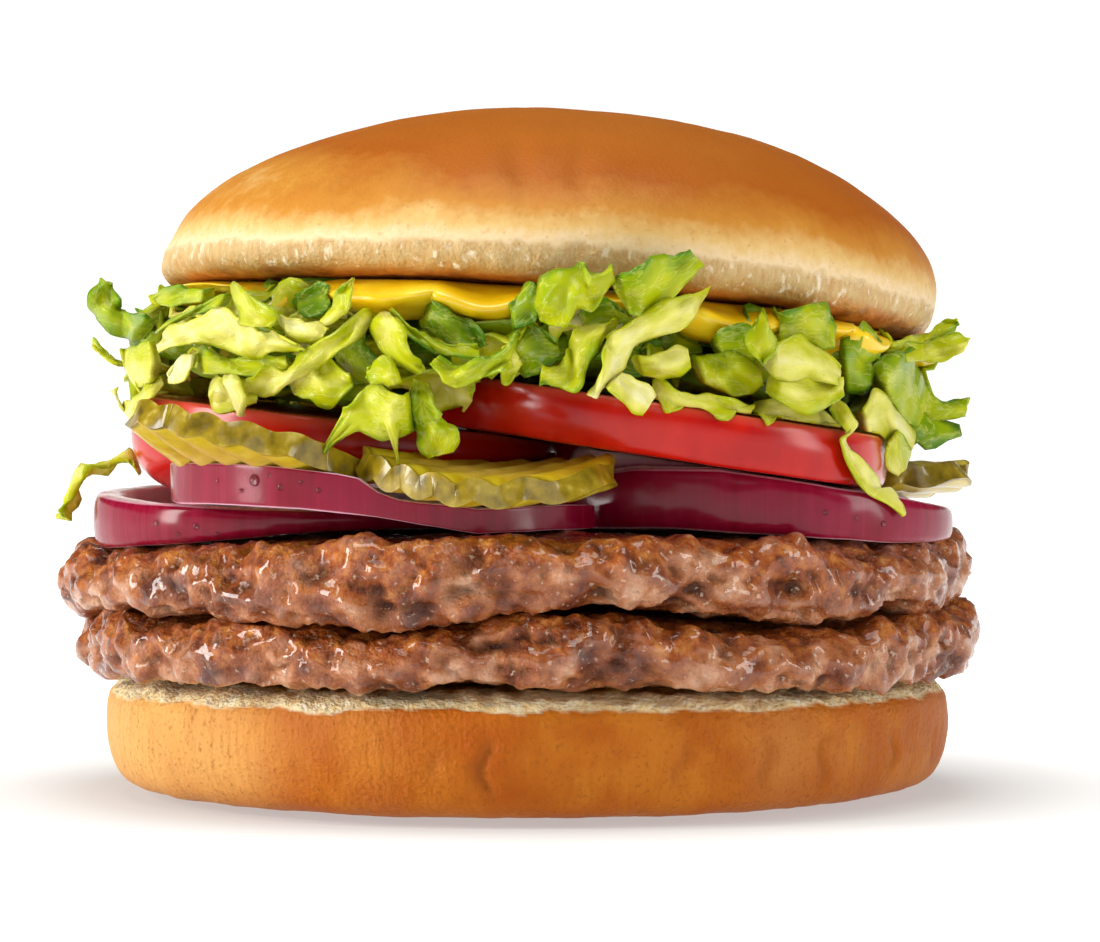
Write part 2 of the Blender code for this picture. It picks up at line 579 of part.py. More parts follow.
def stack():
    """Builds the layers from the bottom up, and last the lettuce in the room they leave."""
    bottom_bun()
    patty(
        "patty_lower", above(sagging(BOTTOM_HEIGHT, BOTTOM_SAG), CLEAR),
        above(seam, -CLEAR / 2),
        lambda a: waves(a, [(0.012, 1, 1.57), (0.010, 2, 1.0), (0.008, 5, 0.3)]) - 0.012, 3.0,
    )
    meat = sagging(MEAT_TOP, MEAT_SAG, PATTY_DIMPLE)
    patty(
        "patty_upper", above(seam, CLEAR / 2), meat,
        lambda a: waves(a, [(0.026, 1, -1.57), (0.010, 4, 2.1), (0.006, 9, 0.5)]), 11.0,
    )

    on_meat = above(meat, CLEAR + 0.15)
    left_rim = plane((-28.5, -11, 37.4), -0.021, 0.012)
    right_slope = plane((26.5, -14, 40.1), -0.150, -0.072)
    right_under = plane((9.2, -46, 45.0), -0.150, -0.04)

    def right_rim(x, y):
        return min(right_slope(x, y), 41.1 + 1.2 * smoothstep(6, 15, x), right_under(x, y) - 0.2)

    def arc_foot(x, y):
        return max(38.15 - 0.0042 * (x + 33) ** 2, on_meat(x, y))

    def arc_top(x, y):
        inner = ONION_ARC[1] - math.hypot(x - ONION_ARC[0][0], y - ONION_ARC[0][1])
        thin = 0.4 * smoothstep(-34, -18, x) + 2.2 * smoothstep(-20.5, -15.5, x)
        thin -= 0.5 * smoothstep(-13, -7, x)
        return arc_foot(x, y) + 5.1 - thin - 0.85 * inner * smoothstep(-18, -34, x)

    below = [
        onion_slice("onion_left", ONION_LEFT, on_meat, left_rim, 0.4),
        onion_slice("onion_right", ONION_RIGHT, on_meat, right_rim, 0.1),
        onion_slice("onion_back", ONION_BACK, on_meat, above(on_meat, 4.6), 0.1),
        onion_arc("onion_middle", ONION_ARC, arc_foot, arc_top, (190, 335)),
    ]

    left_top = plane((-10.8, -19, 46.4), -0.105, -0.02)
    left_under = plane((-43, -4, 38.1), 0.065, 0.0)
    back_under = plane((5, 33, 40.4), 0.0, 0.0)
    below += [
        tomato_slice(
            "tomato_left", TOMATO_LEFT, left_under,
            lambda x, y: min(left_top(x, y), right_under(x, y) - CLEAR), 5.0,
        ),
        tomato_slice("tomato_right", TOMATO_RIGHT, right_under, above(right_under, 6.6)),
        tomato_slice("tomato_back", TOMATO_BACK, back_under, above(back_under, 6.0)),
        pickle_slice("pickle_left", (28, 22, 3.0), (-33.4, -42.0, 44.75), (-15, 12, 0), (1.9, 0.9)),
        pickle_slice("pickle_middle", (30, 26, 2.8), (-4.1, -44.5, 40.8), (2, 1, 0), (2.4, 1.8)),
        pickle_slice("pickle_right", (18.6, 20, 2.8), (46.6, 8.5, 38.2), (-8, -3, 0), (1.4, 0.8)),
    ]
    over = [top_bun(), mustard(top_bun_underside())]
    lettuce(Space(below, over))


clear_scene()
stack()
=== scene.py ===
# %% [markdown]
# # A double hamburger
# The burger stands on a pale floor, seen level from the front. The frame holds one plain
# solid for each layer of the stack. Each is replaced here by a finer piece in the same
# place: two halves of a soft bun, two rough patties, wet slices of onion, tomato and
# pickle, a heap of cut lettuce, and mustard.

# %% Load the frame
import math
import random

import bpy
import numpy as np
from mathutils import Euler, Matrix, Vector, noise
from mathutils.bvhtree import BVHTree


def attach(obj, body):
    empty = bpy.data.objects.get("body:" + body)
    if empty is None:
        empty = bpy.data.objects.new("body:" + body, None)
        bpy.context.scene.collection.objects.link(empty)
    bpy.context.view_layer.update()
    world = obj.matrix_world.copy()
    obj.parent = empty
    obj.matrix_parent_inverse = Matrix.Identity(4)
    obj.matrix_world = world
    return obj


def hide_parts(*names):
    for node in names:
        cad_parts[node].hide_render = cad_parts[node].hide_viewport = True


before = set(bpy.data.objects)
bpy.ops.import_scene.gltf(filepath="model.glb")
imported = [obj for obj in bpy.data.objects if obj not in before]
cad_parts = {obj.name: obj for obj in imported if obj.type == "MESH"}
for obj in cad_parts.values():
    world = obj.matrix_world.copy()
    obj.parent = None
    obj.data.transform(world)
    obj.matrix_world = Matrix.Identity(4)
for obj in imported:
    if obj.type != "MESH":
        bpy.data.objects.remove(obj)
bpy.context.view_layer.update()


print("nodes", sorted(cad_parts))

MM = 0.001


# %% [markdown]
# ## Camera, light and floor
# The photographer used a long lens from a metre away, tipped down by three degrees, so
# the layers show as bands and no cut face is seen from above. At that distance 8 px of
# the picture are 1 mm at the middle of the burger, which gives the lens.

# %% Camera
PICTURE_WIDTH, PICTURE_HEIGHT = 1100, 942
CAMERA_DISTANCE = 1.0
CAMERA_TILT = math.radians(3.0)
CAMERA_AIM = Vector((0.00325, 0.0, 0.040))
SENSOR = 36.0
PIXELS_PER_MM = 8.0

bpy.ops.object.select_all(action="DESELECT")
view = Vector((0, math.cos(CAMERA_TILT), -math.sin(CAMERA_TILT)))
bpy.ops.object.camera_add(
    location=CAMERA_AIM - view * CAMERA_DISTANCE,
    rotation=(math.pi / 2 - CAMERA_TILT, 0, 0),
)
camera = bpy.context.object
camera.data.sensor_fit = "HORIZONTAL"
camera.data.sensor_width = SENSOR
camera.data.lens = PIXELS_PER_MM * CAMERA_DISTANCE / MM / PICTURE_WIDTH * SENSOR
camera.data.clip_start, camera.data.clip_end = 0.05, 20
bpy.context.scene.camera = camera
bpy.context.scene.view_settings.view_transform = "Standard"
print("lens", round(camera.data.lens, 1), "mm")


# %% [markdown]
# A tall soft box stands on the floor at the left and draws the broad white patch on each
# wet wall. A wide one on the right, half as bright, draws the patches on the right slices,
# and weak ones in front and above open the shadows. The pale world fills the rest.

# %% Lights
def soft_box(name, azimuth, height, distance, size, watts, tint=(1, 1, 1)):
    """An area light at an angle from the front, in degrees to the right, that faces the
    burger's middle."""
    turn = math.radians(azimuth)
    place = Vector((math.sin(turn) * distance, -math.cos(turn) * distance, height))
    bpy.ops.object.light_add(type="AREA", location=place)
    lamp = bpy.context.object
    lamp.name = name
    lamp.rotation_euler = (Vector((0, 0, 0.04)) - place).to_track_quat("-Z", "Y").to_euler()
    lamp.data.shape = "RECTANGLE"
    lamp.data.size, lamp.data.size_y = size
    lamp.data.energy = watts
    lamp.data.color = tint
    return lamp


soft_box("key_box", -75, 0.24, 0.75, (0.21, 0.50), 5.3, (1.0, 0.98, 0.94))
soft_box("right_box", 68, 0.21, 0.85, (0.22, 0.44), 2.0, (1.0, 0.98, 0.94))
soft_box("front_box", -8, 0.60, 1.15, (0.9, 0.4), 1.15, (1.0, 0.98, 0.94))
soft_box("top_box", -10, 1.05, 0.20, (0.7, 0.7), 8.2, (1.0, 0.98, 0.94))

world = bpy.data.worlds.new("studio")
world.use_nodes = True
world.node_tree.nodes["Background"].inputs["Color"].default_value = (1, 0.99, 0.97, 1)
world.node_tree.nodes["Background"].inputs["Strength"].default_value = 0.08
bpy.context.scene.world = world


# %% [markdown]
# The helpers below are used by every piece. `turned` models a round piece as one does by
# hand: a circle is extruded from ring to ring, and each new ring is resized. `points_of`
# and `move_points` then hand its points over as numbers in millimetres, for the slow
# bends and the relief that no single operator gives.

# %% Modelling helpers
def only(piece):
    """Selects one piece and nothing else."""
    bpy.ops.object.select_all(action="DESELECT")
    piece.select_set(True)
    bpy.context.view_layer.objects.active = piece


def smoothed(piece, levels):
    """Applies a subdivision surface and shades the piece smooth."""
    only(piece)
    if levels:
        finer = piece.modifiers.new("finer", "SUBSURF")
        finer.levels = finer.render_levels = levels
        bpy.ops.object.modifier_apply(modifier=finer.name)
    bpy.ops.object.shade_smooth()


def turned(name, rings, sides, levels=2):
    """A round piece from (radius, height) rings in millimetres, closed at both ends."""
    bpy.ops.object.select_all(action="DESELECT")
    radius, height = rings[0]
    bpy.ops.mesh.primitive_circle_add(
        vertices=sides, radius=radius * MM, fill_type="TRIFAN", location=(0, 0, height * MM)
    )
    piece = bpy.context.object
    piece.name = piece.data.name = name
    bpy.ops.object.transform_apply()
    bpy.ops.object.mode_set(mode="EDIT")
    bpy.ops.mesh.select_mode(type="EDGE")
    bpy.ops.mesh.select_all(action="DESELECT")
    bpy.ops.mesh.select_non_manifold()
    for (r0, z0), (r1, z1) in zip(rings, rings[1:]):
        bpy.ops.mesh.extrude_region_move(TRANSFORM_OT_translate={"value": (0, 0, (z1 - z0) * MM)})
        bpy.ops.transform.resize(value=(r1 / r0, r1 / r0, 1), center_override=(0, 0, z1 * MM))
    bpy.ops.mesh.merge(type="CENTER")
    bpy.ops.mesh.select_all(action="SELECT")
    bpy.ops.mesh.normals_make_consistent(inside=False)
    bpy.ops.object.mode_set(mode="OBJECT")
    smoothed(piece, levels)
    return piece


def points_of(piece):
    """The piece's points in millimetres."""
    points = np.empty(len(piece.data.vertices) * 3, np.float32)
    piece.data.vertices.foreach_get("co", points)
    return points.reshape(-1, 3).astype(float) / MM


def normals_of(piece):
    """The outward direction at each of the piece's points."""
    normals = np.empty(len(piece.data.vertices) * 3, np.float32)
    piece.data.vertex_normals.foreach_get("vector", normals)
    return normals.reshape(-1, 3).astype(float)


def move_points(piece, points):
    """Moves the piece's points to new places in millimetres."""
    piece.data.vertices.foreach_set("co", (points * MM).astype(np.float32).ravel())
    piece.data.update()


def store(piece, name, values):
    """Keeps one number for each point, for a material to read."""
    kept = piece.data.attributes.new(name, "FLOAT", "POINT")
    kept.data.foreach_set("value", np.asarray(values, np.float32))


def rough(points, size, octaves=3, seed=0.0, squash=1.0):
    """Natural roughness from about -1 to 1, with lumps of the given size."""
    scaled = points / size + seed
    scaled[:, 2] = points[:, 2] / size * squash + seed
    return np.array([noise.fractal(p, 0.9, 2.1, octaves) for p in scaled.tolist()])


def smoothstep(low, high, value):
    """0 below low, 1 above high, and a smooth rise between them."""
    share = np.clip((value - low) / (high - low), 0, 1)
    return share * share * (3 - 2 * share)


def waves(angle, terms):
    """1 plus a sum of (size, count, phase) waves round a circle."""
    return 1 + sum(size * np.sin(count * angle + phase) for size, count, phase in terms)


def dressed(piece, finish, *nodes):
    """Gives a piece its material, and puts it in place of the frame's nodes."""
    piece.data.materials.clear()
    piece.data.materials.append(finish)
    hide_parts(*nodes)
    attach(piece, "root")
    print(piece.name, len(piece.data.polygons), "faces, for", nodes)
    return piece


# %% [markdown]
# ## Materials
# Every finish is one Principled shader fed by a few nodes. Colours are written as sRGB
# hex values, as a colour picker gives them, and turned to linear here. One function adds
# a node with its settings and links, so that each material reads as a list of steps.

# %% Material helpers
def rgb(code):
    """A linear RGBA colour from an sRGB hex code."""
    parts = [int(code[i : i + 2], 16) / 255 for i in (1, 3, 5)]
    return (*[p / 12.92 if p <= 0.04045 else ((p + 0.055) / 1.055) ** 2.4 for p in parts], 1)


def finish(name, **settings):
    """A new material and its Principled shader, with the uniform settings on its sockets."""
    made = bpy.data.materials.new(name)
    made.use_nodes = True
    shader = made.node_tree.nodes["Principled BSDF"]
    for socket, value in settings.items():
        shader.inputs[socket.replace("_", " ")].default_value = value
    return made, shader


def add(material, kind, links=(), **settings):
    """Adds a node, sets its properties, and fills its sockets from values or other nodes.
    links maps a socket's name or number to a value, a node, or (node, output)."""
    node = material.node_tree.nodes.new("ShaderNode" + kind)
    for key, value in settings.items():
        setattr(node, key, value)
    for socket, source in dict(links).items():
        target = node.inputs[socket]
        if isinstance(source, bpy.types.Node):
            source = (source, 0)
        if isinstance(source, tuple) and isinstance(source[0], bpy.types.Node):
            material.node_tree.links.new(source[0].outputs[source[1]], target)
        else:
            target.default_value = source
    return node


def join(material, source, target, socket):
    """Links a node's output to a named socket."""
    node, output = source if isinstance(source, tuple) else (source, 0)
    material.node_tree.links.new(node.outputs[output], target.inputs[socket])


def ramp(material, source, stops):
    """A colour ramp through (place, hex colour) stops."""
    node = add(material, "ValToRGB", {"Fac": source})
    places = node.color_ramp.elements
    while len(places) < len(stops):
        places.new(0.5)
    for element, (place, code) in zip(places, stops):
        element.position = place
        element.color = rgb(code)
    return node


def mixed(material, share, first, second, blend="MIX"):
    """One colour laid over another by a share."""
    return (
        add(
            material, "Mix", {0: share, 6: first, 7: second}, data_type="RGBA", blend_type=blend
        ),
        2,
    )


def attribute(material, name):
    """The value stored on the piece's points under a name."""
    return (add(material, "Attribute", attribute_name=name), "Fac")


def grain(material, size, detail=3.0, **settings):
    """Noise whose lumps are about size millimetres across."""
    place = add(material, "TexCoord")
    return (
        add(
            material, "TexNoise",
            {"Vector": (place, "Object"), "Scale": 1 / (size * MM), "Detail": detail, **settings},
        ),
        0,
    )


def spread(material, source, low, high, start=0.0, end=1.0):
    """A value stretched from one range to another and clamped."""
    links = {"Value": source, "From Min": low, "From Max": high, "To Min": start, "To Max": end}
    return add(material, "MapRange", links)


def bumped(material, shader, height, distance, strength=1.0):
    """Fine relief on a shader, from a height and its depth in millimetres."""
    links = {"Height": height, "Distance": distance * MM, "Strength": strength}
    join(material, add(material, "Bump", links), shader, "Normal")


# %% [markdown]
# ### Baked crust
# A soft burger bun is glazed by steam, not egg, so its crust is matt, with fine pores
# that show as a faint grain. The heat browns it by height: the dome is golden, and the
# part that lay against its neighbour stays pale cream. `lift` is the height over the cut
# face in millimetres, lowered on the upper left of the dome, which paints it paler there:
# a painted highlight where the key light falls. Soft bread lets a little light in, so it
# gets some subsurface scattering.

# %% Crust of the top bun
def upright(material, width, tall, detail=4.0):
    """Noise in upright streaks, width millimetres wide and tall millimetres high."""
    place = add(material, "TexCoord")
    squashed = add(material, "Mapping", {"Vector": (place, "Object"), "Scale": (1, 1, width / tall)})
    return (
        add(material, "TexNoise", {"Vector": squashed, "Scale": 1 / (width * MM), "Detail": detail}),
        0,
    )


def top_crust():
    made, shader = finish(
        "baked_crust", Roughness=0.5, Subsurface_Weight=0.12, Subsurface_Scale=0.002,
        Specular_IOR_Level=0.2,
    )
    shader.inputs["Subsurface Radius"].default_value = (1.0, 0.55, 0.25)
    lift = attribute(made, "lift")
    fleck = spread(made, grain(made, 1.4, 4.0), 0.3, 0.7, -0.5, 0.5)
    height = add(made, "Math", {0: lift, 1: fleck}, operation="ADD")
    # The colour follows lift, which is lowered on the dome's upper left for a painted highlight.
    share = spread(made, height, 0.0, 26.0)
    tone = ramp(
        made, share,
        [(0.0, "#BC8840"), (0.08, "#CEB07A"), (0.14, "#D6B884"), (0.175, "#EAD0A4"),
         (0.24, "#DEB874"), (0.34, "#C68630"), (0.5, "#AC5A0E"), (0.76, "#B2600A"),
         (1.0, "#BA6A12")],
    )
    streak = spread(made, upright(made, 0.8, 3.0), 0.42, 0.66, 0.0, 1.0)
    torn = add(made, "Math", {0: attribute(made, "torn"), 1: streak}, operation="MULTIPLY")
    tone = mixed(made, add(made, "Math", {0: torn, 1: 0.5}, operation="MULTIPLY"), tone, rgb("#C08A46"))
    white = spread(made, upright(made, 1.1, 2.2), 0.58, 0.7, 0.0, 0.8)
    white = add(made, "Math", {0: attribute(made, "torn"), 1: white}, operation="MULTIPLY")
    tone = mixed(made, white, tone, rgb("#F6EAD0"))
    brown = ramp(
        made, spread(made, grain(made, 2.4, 5.0), 0.3, 0.7),
        [(0.0, "#7E3E10"), (0.5, "#B36420"), (1.0, "#D08A3C")],
    )
    tone = mixed(made, attribute(made, "toasted"), tone, brown)
    high = spread(made, lift, 7.0, 14.0)
    patch = spread(made, grain(made, 24, 3.0), 0.42, 0.66, 0.0, 0.5)
    patch = add(made, "Math", {0: patch, 1: high}, operation="MULTIPLY")
    tone = mixed(made, patch, tone, rgb("#BC6E20"))
    speck = spread(made, grain(made, 0.8, 2.0), 0.6, 0.75, 0.0, 0.3)
    tone = mixed(made, speck, tone, rgb("#A86828"))
    join(made, tone, shader, "Base Color")
    fine = grain(made, 0.5, 4.0)
    depth = spread(made, attribute(made, "torn"), 0.0, 1.0, 0.7, 2.6)
    bumped(made, shader, add(made, "Math", {0: fine, 1: depth}, operation="MULTIPLY"), 0.25, 0.6)
    return made


# %% Crust of the bottom bun
def bottom_crust():
    made, shader = finish(
        "tin_crust", Roughness=0.5, Subsurface_Weight=0.10, Subsurface_Scale=0.002,
        Specular_IOR_Level=0.15,
    )
    shader.inputs["Subsurface Radius"].default_value = (1.0, 0.55, 0.25)
    patch = spread(made, grain(made, 9, 4.0), 0.36, 0.66)
    crust = ramp(made, patch, [(0.0, "#B05606"), (0.45, "#B6600A"), (1.0, "#C47218")])
    # Paler towards the left: a painted sheen where the key light falls.
    crust = mixed(made, attribute(made, "pale"), crust, rgb("#E6AE60"))
    low = spread(made, attribute(made, "lift"), 4.5, 1.0, 0.0, 0.45)
    crust = mixed(made, low, crust, rgb("#BE6818"))
    # Darker in the creases: painted shade.
    crust = mixed(made, attribute(made, "crease"), crust, rgb("#A85C1C"))
    pore = spread(made, grain(made, 0.6, 2.0), 0.58, 0.72, 0.0, 0.6)
    crust = mixed(made, pore, crust, rgb("#9A5410"))
    line = spread(made, upright(made, 1.1, 7), 0.5, 0.72, 0.0, 0.24)
    crust = mixed(made, line, crust, rgb("#A4560E"))
    cream = ramp(
        made, spread(made, upright(made, 1.2, 2.6), 0.3, 0.7),
        [(0.0, "#ECC88A"), (0.45, "#F8E0AC"), (1.0, "#FEF2D2")],
    )
    tone = mixed(made, attribute(made, "crumb"), crust, cream)
    brown = ramp(
        made, spread(made, grain(made, 2.6, 5.0), 0.3, 0.7),
        [(0.0, "#96540F"), (0.5, "#C88A2C"), (1.0, "#E6BC58")],
    )
    tone = mixed(made, attribute(made, "toasted"), tone, brown)
    join(made, tone, shader, "Base Color")
    fine = grain(made, 0.6, 4.0)
    depth = spread(made, attribute(made, "crumb"), 0.0, 1.0, 1.0, 2.6)
    fine = add(made, "Math", {0: fine, 1: depth}, operation="MULTIPLY")
    fine = add(made, "Math", {0: fine, 1: upright(made, 1.2, 7)}, operation="ADD")
    bumped(made, shader, fine, 0.4, 0.9)
    return made


# %% [markdown]
# ### Griddled beef
# Thin patties pressed on a griddle: grey-pink minced meat, browned orange where a crag
# touched the steel, and wet all over with fat, which makes small sharp lights. The stored
# relief says which points are crags or cracks: the cracks are painted nearly black as
# painted shade, and the crests paler as a painted highlight.

# %% Beef
def beef():
    made, shader = finish(
        "griddled_beef", Subsurface_Weight=0.06, Subsurface_Scale=0.0012,
        Coat_Roughness=0.08, Specular_IOR_Level=0.25,
    )
    relief = attribute(made, "relief")
    meat = ramp(
        made, spread(made, grain(made, 5.0, 7.0), 0.33, 0.67),
        [(0.0, "#5A260E"), (0.35, "#8E4820"), (0.62, "#B06A3A"), (1.0, "#DAA684")],
    )
    seared = ramp(
        made, spread(made, grain(made, 1.7, 5.0), 0.3, 0.7),
        [(0.0, "#581F04"), (0.5, "#A44E10"), (1.0, "#D08438")],
    )
    where = add(
        made, "Math", {0: grain(made, 11, 5.0), 1: attribute(made, "sear")}, operation="ADD"
    )
    tone = mixed(made, spread(made, where, 0.47, 0.66, 0.0, 0.92), meat, seared)
    # The cracks, where the relief is low, are painted nearly black: painted shade.
    crack = spread(made, relief, 0.2, -1.1, 0.0, 0.9)
    tone = mixed(made, crack, tone, rgb("#321306"))
    fleck = spread(made, grain(made, 0.9, 2.0), 0.64, 0.72, 0.0, 0.55)
    tone = mixed(made, fleck, tone, rgb("#E0C4AC"))
    # The crests, where the relief is high, are painted paler: a painted highlight.
    crest = spread(made, relief, 1.0, 1.9, 0.0, 0.5)
    tone = mixed(made, crest, tone, rgb("#D8A888"))
    char = spread(made, grain(made, 1.3, 3.0), 0.36, 0.28, 0.0, 0.4)
    tone = mixed(made, char, tone, rgb("#241008"))
    join(made, tone, shader, "Base Color")
    join(made, spread(made, grain(made, 3.2, 3.0), 0.35, 0.65, 0.22, 0.6), shader, "Roughness")
    join(made, spread(made, relief, -0.6, 0.8, 0.05, 1.0), shader, "Coat Weight")
    crumb = add(
        made, "Math", {0: grain(made, 0.6, 5.0), 1: grain(made, 1.6, 3.0)}, operation="ADD"
    )
    bumped(made, shader, crumb, 0.65, 1.0)
    return made


# %% [markdown]
# ### Cut vegetables
# Tomato skin is a thin clear film over red flesh, so it is the glossiest surface here.
# The flesh shows paler along the cut edge. Each slice stores `skin`, which is 1 on its
# outer wall, and `share`, its height through the slice, from 0 at its foot to 1 at its top.

# %% Tomato
def ripe_tomato():
    made, shader = finish(
        "ripe_tomato", Subsurface_Weight=0.1, Subsurface_Scale=0.003, Coat_Weight=0.55,
        Coat_Roughness=0.19, Specular_IOR_Level=0.1,
    )
    shader.inputs["Subsurface Radius"].default_value = (1.0, 0.25, 0.1)
    streak = spread(made, grain(made, 7, 3.0), 0.35, 0.65)
    skin = ramp(made, streak, [(0.0, "#B00A04"), (0.5, "#C01206"), (1.0, "#CA1C0A")])
    paler = spread(made, attribute(made, "share"), 0.80, 1.0, 0.0, 0.35)
    skin = mixed(made, paler, skin, rgb("#E07A60"))
    pulp = spread(made, grain(made, 3.0, 4.0), 0.35, 0.65)
    flesh = ramp(made, pulp, [(0.0, "#B82010"), (0.5, "#CE3A26"), (1.0, "#DC7458")])
    tone = mixed(made, attribute(made, "skin"), flesh, skin)
    join(made, tone, shader, "Base Color")
    join(made, spread(made, attribute(made, "skin"), 0.0, 1.0, 0.36, 0.24), shader, "Roughness")
    bumped(made, shader, grain(made, 1.4, 3.0), 0.07, 0.5)
    return made


# %% [markdown]
# Red onion is purple only in the skin of each ring: fine upright veins of darker and
# lighter purple run up the wall, and its two cut edges and inner side are nearly white.

# %% Onion
def red_onion():
    made, shader = finish(
        "red_onion", Subsurface_Weight=0.08, Subsurface_Scale=0.002, Coat_Weight=0.5,
        Coat_Roughness=0.15, Specular_IOR_Level=0.05,
    )
    shader.inputs["Subsurface Radius"].default_value = (1.0, 0.35, 0.5)
    vein = upright(made, 1.5, 30, 3.0)
    broad = upright(made, 6, 60, 2.0)
    lines = ramp(
        made, spread(made, vein, 0.15, 0.85),
        [(0.0, "#72021A"), (0.4, "#7E0424"), (0.7, "#88082C"), (1.0, "#98163C")],
    )
    wall = mixed(made, spread(made, broad, 0.42, 0.62, 0.0, 0.3), lines, rgb("#8E103A"))
    rim = spread(made, attribute(made, "edge"), 0.35, 1.0)
    wall = mixed(made, rim, wall, rgb("#DDA8BC"))
    flesh = ramp(
        made, spread(made, attribute(made, "ring"), 0.0, 1.0),
        [(0.0, "#8E3A5C"), (0.14, "#D2A8B8"), (0.4, "#EFE0E0"), (0.85, "#E8D2D8"),
         (1.0, "#9A4468")],
    )
    tone = mixed(made, attribute(made, "skin"), flesh, wall)
    join(made, tone, shader, "Base Color")
    join(made, spread(made, vein, 0.3, 0.7, 0.18, 0.34), shader, "Roughness")
    bumped(made, shader, vein, 0.08, 0.5)
    return made


# %% [markdown]
# A pickled gherkin slice is olive outside and a wet, half-clear yellow inside, paler
# towards its middle.

# %% Pickle
def gherkin():
    made, shader = finish(
        "pickled_gherkin", Subsurface_Weight=0.25, Subsurface_Scale=0.003, Coat_Weight=0.5,
        Coat_Roughness=0.12, Specular_IOR_Level=0.3, Roughness=0.3,
    )
    shader.inputs["Subsurface Radius"].default_value = (0.9, 1.0, 0.25)
    mottle = spread(made, grain(made, 2.2, 4.0), 0.3, 0.7)
    skin = ramp(
        made, mottle,
        [(0.0, "#5E4E06"), (0.4, "#86700C"), (0.75, "#9E8616"), (1.0, "#BCA852")],
    )
    pulp = spread(made, grain(made, 3.4, 3.0), 0.3, 0.7)
    flesh = ramp(made, pulp, [(0.0, "#BCA010"), (0.5, "#D2BA20"), (1.0, "#E2CE50")])
    ripe = spread(made, attribute(made, "reach"), 0.25, 0.8, 0.6, 0.0)
    flesh = mixed(made, ripe, flesh, rgb("#DCBE58"))
    tone = mixed(made, attribute(made, "skin"), flesh, skin)
    join(made, tone, shader, "Base Color")
    bumped(made, shader, grain(made, 0.9, 3.0), 0.12, 0.5)
    return made


# %% [markdown]
# ### Lettuce and mustard
# Iceberg lettuce is nearly white at the rib and vivid yellow-green at the leaf's edge.
# It is thin enough for light to come through, which makes the heap glow. `shade` runs
# from 0 at the palest shred to 1 at the darkest. `along` and `across` are a point's place
# on its shred in millimetres, so that the veins run with it and fork towards its edges.

# %% Lettuce
def leaf():
    made, shader = finish(
        "iceberg_leaf", Subsurface_Weight=0.3, Subsurface_Scale=0.0014, Coat_Weight=0.2,
        Coat_Roughness=0.15, Roughness=0.42, Specular_IOR_Level=0.2,
    )
    shader.inputs["Subsurface Radius"].default_value = (0.9, 1.0, 0.2)
    blotch = spread(made, grain(made, 4.5, 3.0), 0.3, 0.7, -0.15, 0.15)
    shade = add(made, "Math", {0: attribute(made, "shade"), 1: blotch}, operation="ADD")
    edge = spread(made, attribute(made, "rim"), 0.75, 1.0, 0.0, 0.18)
    shade = add(made, "Math", {0: shade, 1: edge}, operation="ADD")
    tone = ramp(
        made, shade,
        [(0.0, "#F2EEB0"), (0.2, "#E2DE70"), (0.42, "#BABE0A"), (0.62, "#A4B204"),
         (0.82, "#7C9802"), (1.0, "#4E7A04")],
    )
    along, across = attribute(made, "along"), attribute(made, "across")
    fork = add(made, "Math", {0: across, 1: 0.8}, operation="MULTIPLY")
    level = add(made, "Math", {0: along, 1: 0.28}, operation="MULTIPLY")
    branch = add(made, "CombineXYZ", {"X": level, "Y": fork, "Z": attribute(made, "kind")})
    net = add(made, "TexNoise", {"Vector": branch, "Scale": 1.0, "Detail": 3.0, "Distortion": 0.4})
    ridge = add(made, "Math", {0: net, 1: 0.5}, operation="SUBTRACT")
    ridge = add(made, "Math", {0: ridge}, operation="ABSOLUTE")
    vein = spread(made, ridge, 0.035, 0.0)
    tone = mixed(
        made, add(made, "Math", {0: vein, 1: 0.3}, operation="MULTIPLY"), tone, rgb("#E6E880")
    )
    join(made, tone, shader, "Base Color")
    bumped(made, shader, vein, 0.16, 0.45)
    return made


# %% Mustard
def yellow_mustard():
    made, shader = finish(
        "yellow_mustard", Subsurface_Weight=0.15, Subsurface_Scale=0.002, Roughness=0.28,
        Coat_Weight=0.4, Coat_Roughness=0.12,
    )
    shader.inputs["Subsurface Radius"].default_value = (1.0, 0.7, 0.15)
    mottle = spread(made, grain(made, 5, 3.0), 0.3, 0.7)
    tone = ramp(made, mottle, [(0.0, "#ECBE06"), (0.5, "#F4CA0C"), (1.0, "#FAD828")])
    join(made, tone, shader, "Base Color")
    bumped(made, shader, grain(made, 1.5, 3.0), 0.10, 0.4)
    return made


# %% [markdown]
# ## The floor
# A shallow white dish larger than the camera's path: its rim rises all round, so that no
# horizon shows from any side. It glows, which is painted light: dimly near the burger, a
# painted shadow round its foot, and more brightly away from it, a painted glow that keeps
# the background white without lighting the burger from below.

